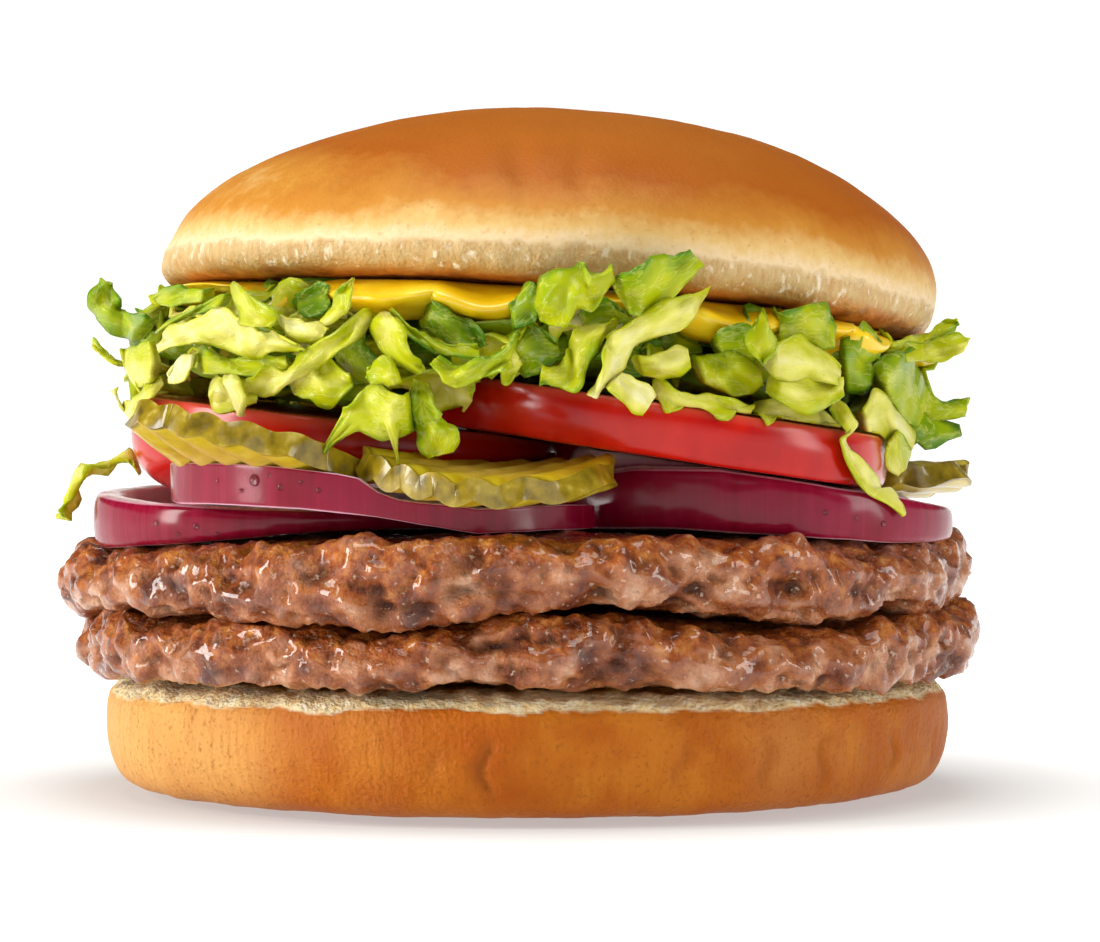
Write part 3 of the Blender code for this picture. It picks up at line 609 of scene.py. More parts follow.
# %% Floor
def studio_floor():
    rings = [(100, 0), (1500, 0), (1900, 20), (2200, 90), (2400, 240), (2450, 340)]
    bpy.ops.object.select_all(action="DESELECT")
    bpy.ops.mesh.primitive_circle_add(
        vertices=96, radius=rings[0][0] * MM, fill_type="TRIFAN", location=(0, 0, 0)
    )
    piece = bpy.context.object
    piece.name = "floor"
    bpy.ops.object.mode_set(mode="EDIT")
    bpy.ops.mesh.select_mode(type="EDGE")
    bpy.ops.mesh.select_all(action="DESELECT")
    bpy.ops.mesh.select_non_manifold()
    for (r0, z0), (r1, z1) in zip(rings, rings[1:]):
        bpy.ops.mesh.extrude_region_move(TRANSFORM_OT_translate={"value": (0, 0, (z1 - z0) * MM)})
        bpy.ops.transform.resize(value=(r1 / r0, r1 / r0, 1), center_override=(0, 0, z1 * MM))
    bpy.ops.object.mode_set(mode="OBJECT")
    smoothed(piece, 1)
    made, shader = finish("white_board", Roughness=0.9)
    shader.inputs["Base Color"].default_value = (0.4, 0.39, 0.37, 1)
    shader.inputs["Emission Color"].default_value = (1, 1, 1, 1)
    place = add(made, "TexCoord")
    reach = add(made, "VectorMath", {0: (place, "Object")}, operation="LENGTH")
    # Emission rises with the distance from the burger: a painted shadow under it and a painted glow beyond.
    glow = spread(made, (reach, "Value"), 54 * MM, 96 * MM, 0.42, 0.98)
    join(made, glow, shader, "Emission Strength")
    piece.data.materials.append(made)


studio_floor()


# %% [markdown]
# ## The stack's surfaces
# The layers sag towards the stack's edge, more at the sides than in front. These few
# surfaces say how high each layer's faces lie over a point of the table, so that what
# lies on a layer follows it. They are the same as the frame's.

# %% Surfaces between the layers
CLEAR = 0.3  # clear space between pieces that rest on each other
SAG_SPAN = 57.0
BOTTOM_HEIGHT, BOTTOM_SAG = 16.7, (2.2, 2.2, 0.5)
MIDDLE_TOP, MIDDLE_SAG = 25.6, (3.2, 3.0, 0.6)
MEAT_TOP, MEAT_SAG = 35.2, (5.2, 4.0, 0.8)
PATTY_RADIUS, PATTY_DIMPLE, SEAM_WAVE = 56.2, 1.3, 1.1


def sagging(base, sag, dimple=0.0):
    """A surface at height base that sags at its left, right and front, and sinks by
    dimple in its middle."""
    left, right, front = sag

    def surface(x, y):
        side = np.where(x < 0, left, right)
        middle = dimple * (1 - smoothstep(20, 46, np.hypot(x, y)))
        return base - side * (x / SAG_SPAN) ** 2 - front * (y / SAG_SPAN) ** 2 - middle

    return surface


def plane(through, slope_x, slope_y):
    """A flat surface through one point, which rises by the slopes along X and Y."""
    x0, y0, z0 = through
    return lambda x, y: z0 + slope_x * (x - x0) + slope_y * (y - y0)


def above(surface, height):
    """A surface lifted by height."""
    return lambda x, y: surface(x, y) + height


def seam(x, y):
    """The wavy surface where the two patties meet."""
    angle, reach = np.arctan2(y, x), np.minimum(1.0, np.hypot(x, y) / PATTY_RADIUS)
    wave = np.sin(5 * angle + 2.6) + 0.6 * np.sin(8 * angle + 0.4)
    return sagging(MIDDLE_TOP, MIDDLE_SAG)(x, y) + SEAM_WAVE * wave * reach**4


def laid(piece, centre, under, over, outline=None):
    """Bends a piece, whose heights run from 0 to 1 mm, into a layer between two surfaces,
    and returns the share of its height at each point."""
    at = points_of(piece)
    share = at[:, 2].copy()
    scale = outline(np.arctan2(at[:, 1], at[:, 0])) if outline else 1.0
    at[:, 0] = at[:, 0] * scale + centre[0]
    at[:, 1] = at[:, 1] * scale + centre[1]
    low, high = under(at[:, 0], at[:, 1]), over(at[:, 0], at[:, 1])
    at[:, 2] = low + (high - low) * share
    move_points(piece, at)
    return share


bottom_top = sagging(BOTTOM_HEIGHT, BOTTOM_SAG)
meat = sagging(MEAT_TOP, MEAT_SAG, PATTY_DIMPLE)
print("meat at the middle and left", meat(0.0, 0.0), meat(-50.0, 0.0))


# %% [markdown]
# ## Bottom bun
# It was baked in a shallow tin with a flat foot and a steep side, then cut across and
# toasted on its cut face. Its crust is drawn into a few upright creases where it shrank
# as it cooled, and the soft crumb at the cut is torn and pale.

# %% Bottom bun
BOTTOM_RINGS = [
    (2, 0), (15, 0), (26, 0), (31, 0), (41.5, 0.5), (47.8, 0.95), (49.6, 1.5), (51.0, 2.6),
    (51.9, 4.6), (52.4, 7.0), (52.6, 9.8), (52.6, 12.8), (52.3, 14.3), (51.4, 15.4), (49.4, 16.2),
    (44, 16.7), (30, 16.7), (14, 16.7), (3, 16.7),
]
CREASES = [  # degrees right of the front, depth, width in mm, lowest and highest point
    (-4.9, 0.9, 0.8, 3.0, 12.4), (-11, 0.45, 0.9, 5.0, 11.5), (-30, 0.25, 1.2, 4.0, 10.0),
    (21, 0.45, 0.8, 3.5, 12.5), (34, 0.55, 0.9, 3.0, 12.5), (44, 0.7, 0.8, 2.5, 12.8),
    (61, 0.6, 0.9, 3.0, 12.0), (76, 0.4, 1.0, 3.0, 12.0), (110, 0.5, 0.9, 3.0, 12.0),
    (141, 0.4, 1.0, 4.0, 11.0), (172, 0.6, 0.9, 3.0, 12.0), (205, 0.4, 1.0, 3.0, 12.0),
    (238, 0.5, 0.9, 3.0, 11.0), (262, 0.3, 1.1, 4.0, 11.0),
]


def bottom_bun():
    piece = turned("bottom_bun_bread", BOTTOM_RINGS, 128)
    at = points_of(piece)
    height = at[:, 2].copy()
    angle = np.arctan2(at[:, 1], at[:, 0])
    reach = np.hypot(at[:, 0], at[:, 1])
    out = smoothstep(40, 50, reach)
    swell = 1 + out * (waves(angle, [(0.008, 3, 0.4), (0.005, 7, 2.0)]) - 1)
    crease = np.zeros(len(at))
    front = np.degrees(np.arctan2(at[:, 0], -at[:, 1])) % 360
    for turn, depth, width, low, high in CREASES:
        wobble = 0.6 * np.sin(height * 0.9 + turn)
        away = (((front - turn + 180) % 360) - 180) * math.radians(1) * 52.6 + wobble
        along = smoothstep(low, low + 3, height) * smoothstep(high, high - 3, height)
        dent = np.exp(-((away / width) ** 2)) * along * out
        swell -= depth / 52.6 * (dent - 0.25 * np.exp(-((away / width / 3) ** 2)) * along * out)
        crease = np.maximum(crease, dent * min(1.0, depth / 0.6))
    at[:, :2] *= swell[:, None]
    at[:, 2] -= (BOTTOM_HEIGHT - bottom_top(at[:, 0], at[:, 1])) * smoothstep(2, 13, height)
    move_points(piece, at)
    at, normal = points_of(piece), normals_of(piece)
    edge = 14.7 + 0.5 * rough(at, 9, 3, 4.0) + 0.3 * rough(at, 2.0, 2, 5.0)
    crumb = smoothstep(edge - 0.2, edge + 0.2, height)
    soft = 0.16 * rough(at, 7, 3, 1.0) + 0.06 * rough(at, 1.8, 2, 2.0)
    torn = crumb * (0.45 * rough(at, 2.6, 4, 7.0) + 0.16 * rough(at, 0.9, 2, 8.0) - 0.15)
    foot = smoothstep(0.0, 1.2, height)
    move_points(piece, at + normal * ((soft + torn) * foot)[:, None])
    browned = 46.5 + 2.2 * rough(at, 8, 3, 2.0)
    store(piece, "lift", height)
    store(piece, "crumb", crumb)
    # Kept for the material, which paints the creases darker as shade.
    store(piece, "crease", crease * 0.7)
    # The left side is painted paler: a painted sheen where the key light falls.
    left = smoothstep(-22, -44, at[:, 0]) + 0.35 * rough(at, 22, 2, 3.0)
    store(piece, "pale", np.clip(left, 0, 1) * 0.9)
    store(piece, "toasted", smoothstep(browned + 1, browned - 1, reach) * smoothstep(15.5, 16.2, height))
    return dressed(piece, bottom_crust(), "bottom_bun")


bottom_bun()


# %% [markdown]
# ## Patties
# Each is a thin round of minced beef whose rim cracked as it shrank on the griddle. A
# smooth slab is made first, then pushed along its own surface: large lumps, then torn
# crags, then grains of mince. The crags are deepest at the rim, where the camera looks.

# %% Patties
def patty(name, node, under, over, outline, seed, finish_of_meat):
    bulge = [math.pi * (i / 6 - 0.5) for i in range(7)]
    edge = [(PATTY_RADIUS - 3.4 * (1 - math.cos(a)), 0.5 + 0.5 * math.sin(a)) for a in bulge]
    inner = [3, 14, 28, 40, 47]
    rings = [(r, 0) for r in inner] + edge + [(r, 1) for r in inner[::-1]]
    piece = turned(name, rings, 150)
    laid(piece, (0, 0), under, over, outline)
    at, normal = points_of(piece), normals_of(piece)
    reach = np.hypot(at[:, 0], at[:, 1])
    rim = smoothstep(45, 55, reach)
    lumps = rough(at, 9, 3, seed)
    crags = 1 - 2.2 * np.abs(rough(at, 6.8, 3, seed + 5, 1.3))
    mince = rough(at, 2.3, 3, seed + 9)
    amount = 1.8 * lumps * (0.3 + 0.7 * rim) + 0.85 * crags * (0.25 + 0.75 * rim) + 0.3 * mince
    amount -= 0.5
    move_points(piece, at + normal * amount[:, None])
    store(piece, "relief", 0.9 * crags + 1.1 * mince + 0.5 * lumps)
    store(piece, "sear", 0.26 * normal[:, 2] + 0.08 * lumps)
    return dressed(piece, finish_of_meat, node)


minced_beef = beef()
patty(
    "beef_lower", "patty_lower", above(bottom_top, CLEAR), above(seam, -CLEAR / 2),
    lambda a: waves(a, [(0.012, 1, 1.57), (0.010, 2, 1.0), (0.008, 5, 0.3)]) - 0.012, 3.0,
    minced_beef,
)
patty(
    "beef_upper", "patty_upper", above(seam, CLEAR / 2), meat,
    lambda a: waves(a, [(0.026, 1, -1.57), (0.010, 4, 2.1), (0.006, 9, 0.5)]), 11.0,
    minced_beef,
)


# %% [markdown]
# ## Onion
# Thick slices of red onion. A slice is a nest of rings: the outer wall is purple, and
# each ring inside stands a little lower or higher than the next. One loose ring bends
# round the front of the stack, with its ends hidden.

# %% Onion slices
ONION_WALL = 3.2
RING_PITCH = 4.3  # from one ring of the onion to the next
on_meat = above(meat, CLEAR + 0.15)


def onion_slice(name, node, place, under, over, sunk, finish_of_onion):
    centre, radius = place
    base = [(3, 0), (radius * 0.55, 0), (radius - 1.0, 0), (radius - 0.5, 0.03)]
    wall = [(radius, 0.12), (radius + 0.2, 0.3), (radius + 0.25, 0.6), (radius + 0.1, 0.88)]
    lip = [(radius - 0.25, 0.97), (radius - 0.7, 1), (radius - ONION_WALL + 0.25, 1)]
    rings = base + wall + lip
    low = 1 - sunk
    steps = [(radius - ONION_WALL, 0.97), (radius - ONION_WALL - 0.25, low + 0.03)]
    r = radius - ONION_WALL - 0.6
    while r > RING_PITCH + 1.5:
        steps += [(r, low), (r - RING_PITCH + 0.9, low), (r - RING_PITCH + 0.45, low - 0.06)]
        r -= RING_PITCH
    piece = turned(name, rings + steps + [(1.5, low)], 80)
    flat = points_of(piece)
    reach = np.hypot(flat[:, 0], flat[:, 1])
    oval = [(0.016, 2, centre[0]), (0.006, 3, centre[1])]
    share = laid(piece, centre, under, over, lambda a: waves(a, oval))
    at, normal = points_of(piece), normals_of(piece)
    move_points(piece, at + normal * (0.16 * rough(at, 8, 2, centre[0]))[:, None])
    store(piece, "skin", smoothstep(radius - 1.0, radius - 0.5, reach))
    far = np.abs(share - 0.5) * 2
    store(piece, "edge", smoothstep(0.86, 0.98, far))
    store(piece, "ring", ((radius - reach) / RING_PITCH) % 1.0)
    return dressed(piece, finish_of_onion, node)


sliced_onion = red_onion()
ONION_LEFT = ((-28.5, -11.0), 24.5)
ONION_RIGHT = ((26.5, -14.0), 26.0)
ONION_BACK = ((0.0, 31.0), 21.0)
left_rim = plane((-28.5, -11, 37.4), -0.021, 0.012)
right_slope = plane((26.5, -14, 40.1), -0.150, -0.072)
right_under = plane((9.2, -46, 45.0), -0.150, -0.04)


def right_rim(x, y):
    """The right slice's top: it leans on the tomato, and is thinner at its left. Its inner
    rings are pressed up against the tomato."""
    raised = 41.1 + 1.2 * smoothstep(6, 15, x)
    rim = np.minimum(np.minimum(right_slope(x, y), raised), right_under(x, y) - 0.12)
    (cx, cy), radius = ONION_RIGHT
    inner = smoothstep(radius - 4.0, radius - 6.5, np.hypot(x - cx, y - cy))
    return rim + (right_under(x, y) - 0.05 - rim) * inner


onions = [
    onion_slice("onion_slice_left", "onion_left", ONION_LEFT, on_meat, left_rim, 0.4, sliced_onion),
    onion_slice(
        "onion_slice_right", "onion_right", ONION_RIGHT, on_meat, right_rim, 0.01, sliced_onion
    ),
    onion_slice(
        "onion_slice_back", "onion_back", ONION_BACK, on_meat, above(on_meat, 4.6), 0.06,
        sliced_onion,
    ),
]


# %% Loose onion ring
ONION_ARC = ((-16.0, -23.5), 27.5)
ARC_SWEEP = (190, 335)


def arc_foot(x, y):
    return np.maximum(38.15 - 0.0042 * (x + 33) ** 2, on_meat(x, y))


def arc_top(x, y):
    """The ring's top: it is cut lower towards its right end, and slopes in at its left."""
    inner = ONION_ARC[1] - np.hypot(x - ONION_ARC[0][0], y - ONION_ARC[0][1])
    thin = 0.4 * smoothstep(-34, -18, x) + 2.2 * smoothstep(-20.5, -15.5, x)
    thin -= 0.5 * smoothstep(-13, -7, x)
    return arc_foot(x, y) + 5.1 - thin - 0.85 * inner * smoothstep(-18, -34, x)


def loose_ring():
    """A straight bar, bevelled and cut finely, then bent round its centre."""
    (cx, cy), radius = ONION_ARC
    bpy.ops.object.select_all(action="DESELECT")
    bpy.ops.mesh.primitive_cube_add(size=1 * MM)
    piece = bpy.context.object
    piece.name = piece.data.name = "onion_ring_loose"
    bpy.ops.object.mode_set(mode="EDIT")
    bpy.ops.mesh.select_all(action="SELECT")
    bpy.ops.mesh.bevel(offset=0.08 * MM, segments=3, affect="EDGES")
    bpy.ops.mesh.select_all(action="SELECT")
    bpy.ops.mesh.subdivide(number_cuts=5)
    bpy.ops.object.mode_set(mode="OBJECT")
    smoothed(piece, 2)
    flat = points_of(piece)
    start, end = (math.radians(a) for a in ARC_SWEEP)
    turn = start + (flat[:, 0] + 0.5) * (end - start)
    deep = flat[:, 1] + 0.5
    reach = radius - ONION_WALL + ONION_WALL * deep
    at = np.stack([cx + reach * np.cos(turn), cy + reach * np.sin(turn), flat[:, 2] + 0.5], 1)
    share = at[:, 2].copy()
    low, high = arc_foot(at[:, 0], at[:, 1]), arc_top(at[:, 0], at[:, 1])
    at[:, 2] = low + (high - low) * share
    move_points(piece, at)
    at, normal = points_of(piece), normals_of(piece)
    move_points(piece, at + normal * (0.15 * rough(at, 7, 2, 4.0))[:, None])
    store(piece, "skin", smoothstep(0.80, 0.92, deep))
    store(piece, "edge", smoothstep(0.86, 0.98, np.abs(share - 0.5) * 2))
    store(piece, "ring", 0.2 + 0.5 * deep)
    return dressed(piece, sliced_onion, "onion_middle")


onions.append(loose_ring())


# %% [markdown]
# ## Tomato
# Slices of a ripe tomato, tipped to the right with the stack. Each is cut flat and has a
# skin that bulges and tucks in at its foot.

# %% Tomato slices
TOMATO_LEFT = ((-22.5, -4.0), 26.5)
TOMATO_RIGHT = ((17.0, -19.0), 28.0)
TOMATO_BACK = ((5.0, 33.0), 19.0)
left_top = plane((-10.8, -19, 46.4), -0.105, -0.02)
left_under = plane((-43, -4, 38.1), 0.065, 0.0)
back_under = plane((5, 33, 40.4), 0.0, 0.0)


def left_over(x, y):
    return np.minimum(left_top(x, y), right_under(x, y) - CLEAR)


def tomato_slice(name, node, place, under, over, finish_of_tomato, undercut=0.9):
    centre, radius = place
    base = [(3, 0), (radius * 0.6, 0), (radius - undercut - 0.5, 0), (radius - undercut, 0.02)]
    wall = [(radius - undercut * 0.4, 0.16), (radius - 0.1, 0.4), (radius, 0.65)]
    top = [(radius - 0.35, 0.94), (radius - 0.7, 0.99), (radius - 1.2, 1), (radius * 0.6, 1)]
    piece = turned(name, base + wall + top + [(3, 1)], 72)
    flat = points_of(piece)
    reach = np.hypot(flat[:, 0], flat[:, 1])
    lobes = [(0.010, 5, centre[0]), (0.005, 7, centre[1])]
    share = laid(piece, centre, under, over, lambda a: waves(a, lobes))
    at, normal = points_of(piece), normals_of(piece)
    move_points(piece, at + normal * (0.18 * rough(at, 14, 2, centre[1]))[:, None])
    store(piece, "share", share)
    store(piece, "skin", smoothstep(radius - undercut - 1.2, radius - undercut - 0.5, reach))
    return dressed(piece, finish_of_tomato, node)


sliced_tomato = ripe_tomato()
tomatoes = [
    tomato_slice(
        "tomato_slice_left", "tomato_left", TOMATO_LEFT, left_under, left_over, sliced_tomato, 5.0
    ),
    tomato_slice(
        "tomato_slice_right", "tomato_right", TOMATO_RIGHT, right_under,
        above(right_under, 6.6), sliced_tomato,
    ),
    tomato_slice(
        "tomato_slice_back", "tomato_back", TOMATO_BACK, back_under, above(back_under, 6.0),
        sliced_tomato,
    ),
]


# %% [markdown]
# ## Pickles
# Gherkin slices cut with a crinkle blade, askew to their length: both faces follow the
# same wave, so the rim shows it as a zigzag. A square plate is cut finely, rounded to an
# oval and waved.

# %% Pickle slices
CRINKLE_LENGTH, CRINKLE_HEIGHT = 4.6, 0.45
CRINKLE_TURN = math.radians(33.0)


def pickle_slice(name, node, size, at_mm, turn, cup, depth, finish_of_pickle):
    length, width, thickness = size
    bpy.ops.object.select_all(action="DESELECT")
    bpy.ops.mesh.primitive_grid_add(x_subdivisions=110, y_subdivisions=56, size=2 * MM)
    piece = bpy.context.object
    piece.name = piece.data.name = name
    at = points_of(piece)
    u, v = at[:, 0].copy(), at[:, 1].copy()
    x = u * np.sqrt(1 - v**2 / 2) * length / 2
    y = v * np.sqrt(1 - u**2 / 2) * width / 2
    lift = np.where(x < 0, cup[0], cup[1]) * (2 * x / length) ** 2
    phase = math.tau * (x * math.cos(CRINKLE_TURN) - y * math.sin(CRINKLE_TURN)) / CRINKLE_LENGTH
    z = depth * np.sin(phase) + lift
    reach = np.sqrt((2 * x / length) ** 2 + (2 * y / width) ** 2)
    spread_out = 1 + 0.012 * np.sin(5 * np.arctan2(y, x) + length)
    z += 0.15 * rough(np.stack([x, y, 0 * x], 1), 5, 2, length)
    move_points(piece, np.stack([x * spread_out, y * spread_out, z], 1))
    store(piece, "reach", reach)
    only(piece)
    thick = piece.modifiers.new("thick", "SOLIDIFY")
    thick.thickness, thick.offset = thickness * MM, 0
    thick.use_even_offset = True
    bpy.ops.object.modifier_apply(modifier="thick")
    round_edge = piece.modifiers.new("round", "BEVEL")
    round_edge.width, round_edge.segments = 0.30 * MM, 2
    round_edge.limit_method, round_edge.angle_limit = "ANGLE", math.radians(60)
    bpy.ops.object.modifier_apply(modifier="round")
    bpy.ops.object.shade_smooth()
    piece.matrix_world = Matrix.LocRotScale(
        Vector(at_mm) * MM, Euler([math.radians(a) for a in turn]), None
    )
    bpy.ops.object.transform_apply()
    kept = np.empty(len(piece.data.vertices), np.float32)
    piece.data.attributes["reach"].data.foreach_get("value", kept)
    store(piece, "skin", smoothstep(0.94, 0.985, kept))
    return dressed(piece, finish_of_pickle, node)


sliced_pickle = gherkin()
pickles = [
    pickle_slice(
        "pickle_slice_left", "pickle_left", (28, 22, 3.0), (-33.4, -42.0, 44.1), (-15, 12, 0),
        (1.9, 0.9), CRINKLE_HEIGHT * 0.7, sliced_pickle,
    ),
    pickle_slice(
        "pickle_slice_middle", "pickle_middle", (30, 26, 2.8), (-4.1, -44.5, 40.8), (2, 1, 0),
        (2.4, 1.8), CRINKLE_HEIGHT * 1.1, sliced_pickle,
    ),
    pickle_slice(
        "pickle_slice_right", "pickle_right", (18.6, 20, 2.8), (46.6, 8.5, 38.2), (-8, -3, 0),
        (1.4, 0.8), CRINKLE_HEIGHT, sliced_pickle,
    ),
]


# %% [markdown]
# ## Top bun
# The dome is modelled on its flat cut face, then tipped back and to the right as it sits
# on the lettuce. Low down, where it touched its neighbours in the oven, it is pale and
# its skin is torn into a rough band. Two soft folds run down the front of the dome.

# %% Top bun
TOP_RADIUS, TOP_DOME, TOP_WIDEST = 48.0, 20.4, 4.7
TOP_CUT_LEFT, TOP_DROOP = 1.8, 1.1  # its cut face reaches out at the left, and droops right
TOP_AT = (3.2, 0.0, 59.8)
TOP_TURN = (-6.6, 3.7)
FOLDS = [  # X, depth, width in mm, lowest and highest point
    (-4.5, 0.5, 2.0, 8, 20), (-1.5, 0.35, 1.4, 9, 17), (3.0, 0.4, 1.7, 9, 20),
    (-8.5, 0.3, 1.8, 7, 14), (-14, 0.2, 2.5, 6, 16), (9, 0.2, 2.2, 9, 17),
]


def top_bun():
    rings = [(2, 0), (16, 0), (26, 0), (36, 0), (43.4, 0), (44.6, 0.1), (46.2, 0.7), (47.1, 1.7)]
    rings += [(47.7, 3.0)]
    for degrees in (0, 8, 16, 24, 32, 40, 48, 56, 64, 72, 80, 86):
        a = math.radians(degrees)
        rings.append((TOP_RADIUS * math.cos(a), TOP_WIDEST + TOP_DOME * math.sin(a)))
    piece = turned("top_bun_bread", rings, 128)
    at = points_of(piece)
    height = at[:, 2].copy()
    angle = np.arctan2(at[:, 1], at[:, 0])
    reach = np.hypot(at[:, 0], at[:, 1])
    high = smoothstep(0.5, 8, height)
    swell = 1 + high * (waves(angle, [(0.004, 2, 0.5), (0.004, 5, 1.7)]) - 1)
    low = smoothstep(TOP_WIDEST + 2, 0, height) * np.maximum(0.0, -np.cos(angle)) ** 1.5
    swell += low * smoothstep(26, 44, reach) * TOP_CUT_LEFT / 44
    at[:, 0] = at[:, 0] * swell + 0.12 * np.maximum(0.0, height - TOP_WIDEST)
    at[:, 1] *= swell
    at[:, 2] -= 0.8 * high * np.exp(-(((at[:, 0] + 34) / 14) ** 2))
    at[:, 2] -= TOP_DROOP * smoothstep(24, 46, at[:, 0])
    move_points(piece, at)
    at, normal = points_of(piece), normals_of(piece)
    push = 0.14 * rough(at, 9, 3, 3.0)
    for x, depth, width, below, top in FOLDS:
        away = at[:, 0] - x + 0.9 * np.sin(height * 0.35 + x)
        along = smoothstep(below, below + 5, height) * smoothstep(top, top - 6, height)
        push -= depth * np.exp(-((away / width) ** 2)) * along * (at[:, 1] < 0)
    line = 4.1 + 0.5 * rough(at, 8, 2, 6.0) + 0.35 * rough(at, 2.0, 2, 7.0)
    band = smoothstep(0.4, 1.0, height) * smoothstep(line + 0.25, line - 0.25, height)
    push += band * (0.26 * rough(at, 1.5, 4, 9.0, 0.5) - 0.14)
    move_points(piece, at + normal * push[:, None])
    lift = height + smoothstep(5, 9, height) * 1.3 * rough(at, 11, 3, 5.0) - line + 4.1
    # The upper left of the dome gets less lift, so it is painted paler there: a painted highlight where the key
    # light falls.
    store(piece, "lift", lift - 6.5 * smoothstep(8, 16, height) * smoothstep(-4, -42, at[:, 0]))
    store(piece, "torn", band)
    rim = smoothstep(0.9 + 0.4 * rough(at, 4, 2, 1.0), 0.2, height)
    burnt = np.exp(-(((at[:, 0] - 41) / 5.5) ** 2)) * smoothstep(2.6, 0.8, height) * (at[:, 1] < 0)
    store(piece, "toasted", np.clip(rim + burnt, 0, 1) * 0.9)
    only(piece)
    piece.matrix_world = Matrix.LocRotScale(
        Vector(TOP_AT) * MM, Euler([math.radians(a) for a in (*TOP_TURN, 0)]), None
    )
    bpy.ops.object.transform_apply()
    return dressed(piece, top_crust(), "top_bun")


dome = top_bun()
tip = Euler([math.radians(a) for a in (*TOP_TURN, 0)]).to_matrix() @ Vector((0, 0, 1))
flat_underside = plane(TOP_AT, -tip.x / tip.z, -tip.y / tip.z)


def bun_underside(x, y):
    return flat_underside(x, y) - TOP_DROOP * smoothstep(24, 46, x - TOP_AT[0])


# %% [markdown]
# ## Mustard
# Squeezed on the cut face of the top bun, it spread to the rim when the bun was pressed
# down, and hangs there in rounded lobes between the shreds.

# %% Mustard on the bun
MUSTARD_RADIUS = 43.5
MUSTARD_LOBES = [  # degrees right of the front, half width, drop
    (-86, 7, 1.8), (-48, 7, 4.6), (-25, 9, 4.0), (-11, 7, 4.4), (10, 8, 1.4), (30, 8, 4.6),
    (46, 5, 2.8), (55, 4, 4.2), (88, 10, 2.2), (122, 8, 3.0), (150, 11, 2.4), (185, 9, 3.2),
    (214, 8, 2.0), (243, 10, 3.0),
]
LOBE_BULGE = 1.9


def lobe_at(x, y):
    """How far the mustard hangs below its sheet at (x, y)."""
    front = np.degrees(np.arctan2(y - TOP_AT[1], x - TOP_AT[0])) + 90
    drop = np.zeros_like(front)
    for place, width, depth in MUSTARD_LOBES:
        away = (front - place + 180) % 360 - 180
        drop = np.maximum(drop, depth * np.exp(-((away / width) ** 2)))
    return drop


def mustard():
    edge = [(MUSTARD_RADIUS - 1.6, 0.03), (MUSTARD_RADIUS - 0.4, 0.22)]
    edge += [(MUSTARD_RADIUS, 0.55), (MUSTARD_RADIUS - 0.5, 0.97)]
    rings = [(3, 0), (20, 0), (32, 0), (38, 0)] + edge + [(36, 1), (20, 1), (3, 1)]
    piece = turned("mustard_spread", rings, 140)
    centre = TOP_AT[:2]
    def over(x, y):
        """Just under the cut face, and up to the lip of the crust at the rim."""
        reach = np.hypot(x - centre[0], y - centre[1])
        return bun_underside(x, y) - 0.15 + 0.25 * np.maximum(0, reach - 43.4)

    def under(x, y):
        reach = np.hypot(x - centre[0], y - centre[1])
        return over(x, y) - 1.1 - lobe_at(x, y) * smoothstep(34, 42, reach)

    share = laid(piece, centre, under, over, lambda a: waves(a, [(0.03, 6, 0.5), (0.02, 9, 1)]))
    at, normal = points_of(piece), normals_of(piece)
    drop = lobe_at(at[:, 0], at[:, 1])
    low = smoothstep(0.9, 0.35, share) * smoothstep(36, 42, np.hypot(at[:, 0] - 3.2, at[:, 1]))
    bulge = (3.3 + LOBE_BULGE * smoothstep(0.8, 3.0, drop)) * low
    at[:, :2] += normal[:, :2] * bulge[:, None]
    below = smoothstep(0.2, -0.4, normal[:, 2])
    move_points(piece, at + normal * (0.4 * below * rough(at, 6, 3, 2.0))[:, None])
    return dressed(piece, yellow_mustard(), "mustard")


sauce = mustard()


# %% [markdown]
# ## Lettuce
# Iceberg lettuce cut in strips. The middle of the heap is packed, so it is one rumpled
# mass, painted dark green as painted shade for the depth of the heap. Over it lie loose
# shreds, each a copy of one flat strip. At the front a strip is stretched between the two
# edges that a shred shows, then bulged and frilled.
# The rest are bent along a route. All are pushed clear of the tomato, the pickles and the
# bun that they touch.

# %% The space round the shreds
def tree_of(pieces):
    """One search tree, in millimetres, of the pieces' faces."""
    points, faces = [], []
    for piece in pieces:
        start = len(points)
        points += [tuple(p) for p in points_of(piece)]
        faces += [[start + i for i in p.vertices] for p in piece.data.polygons]
    return BVHTree.FromPolygons(points, faces)


def meet(tree, x, y, start, way, spread_mm):
    """The heights at which a tree's faces are met, up or down, round (x, y)."""
    spots = [(0.0, 0.0)]
    for reach in (spread_mm / 2, spread_mm):
        spots += [
            (reach * math.cos(i * math.tau / 8), reach * math.sin(i * math.tau / 8))
            for i in range(8)
        ]
    hits = [tree.ray_cast(Vector((x + a, y + b, start)), Vector((0, 0, way)))[0] for a, b in spots]
    return [hit.z for hit in hits if hit]


toppings = tree_of(onions + tomatoes + pickles)
lid = tree_of([dome, sauce])
neighbours = tree_of(onions + tomatoes + pickles + [dome, sauce])


def floor_at(x, y, spread_mm=2.0):
    return max(meet(toppings, x, y, 90, -1, spread_mm), default=-math.inf)


def ceiling_at(x, y, spread_mm=2.0):
    return min(meet(lid, x, y, 30, 1, spread_mm), default=math.inf)


def pushed_clear(points, margin):
    """The points, with those in or too near a neighbour moved out of it."""
    out = points.copy()
    for i, point in enumerate(points.tolist()):
        found, normal, _, _ = neighbours.find_nearest(Vector(point), 6.0)
        if found and (Vector(point) - found).dot(normal) < margin:
            out[i] = found + normal * margin
    return out


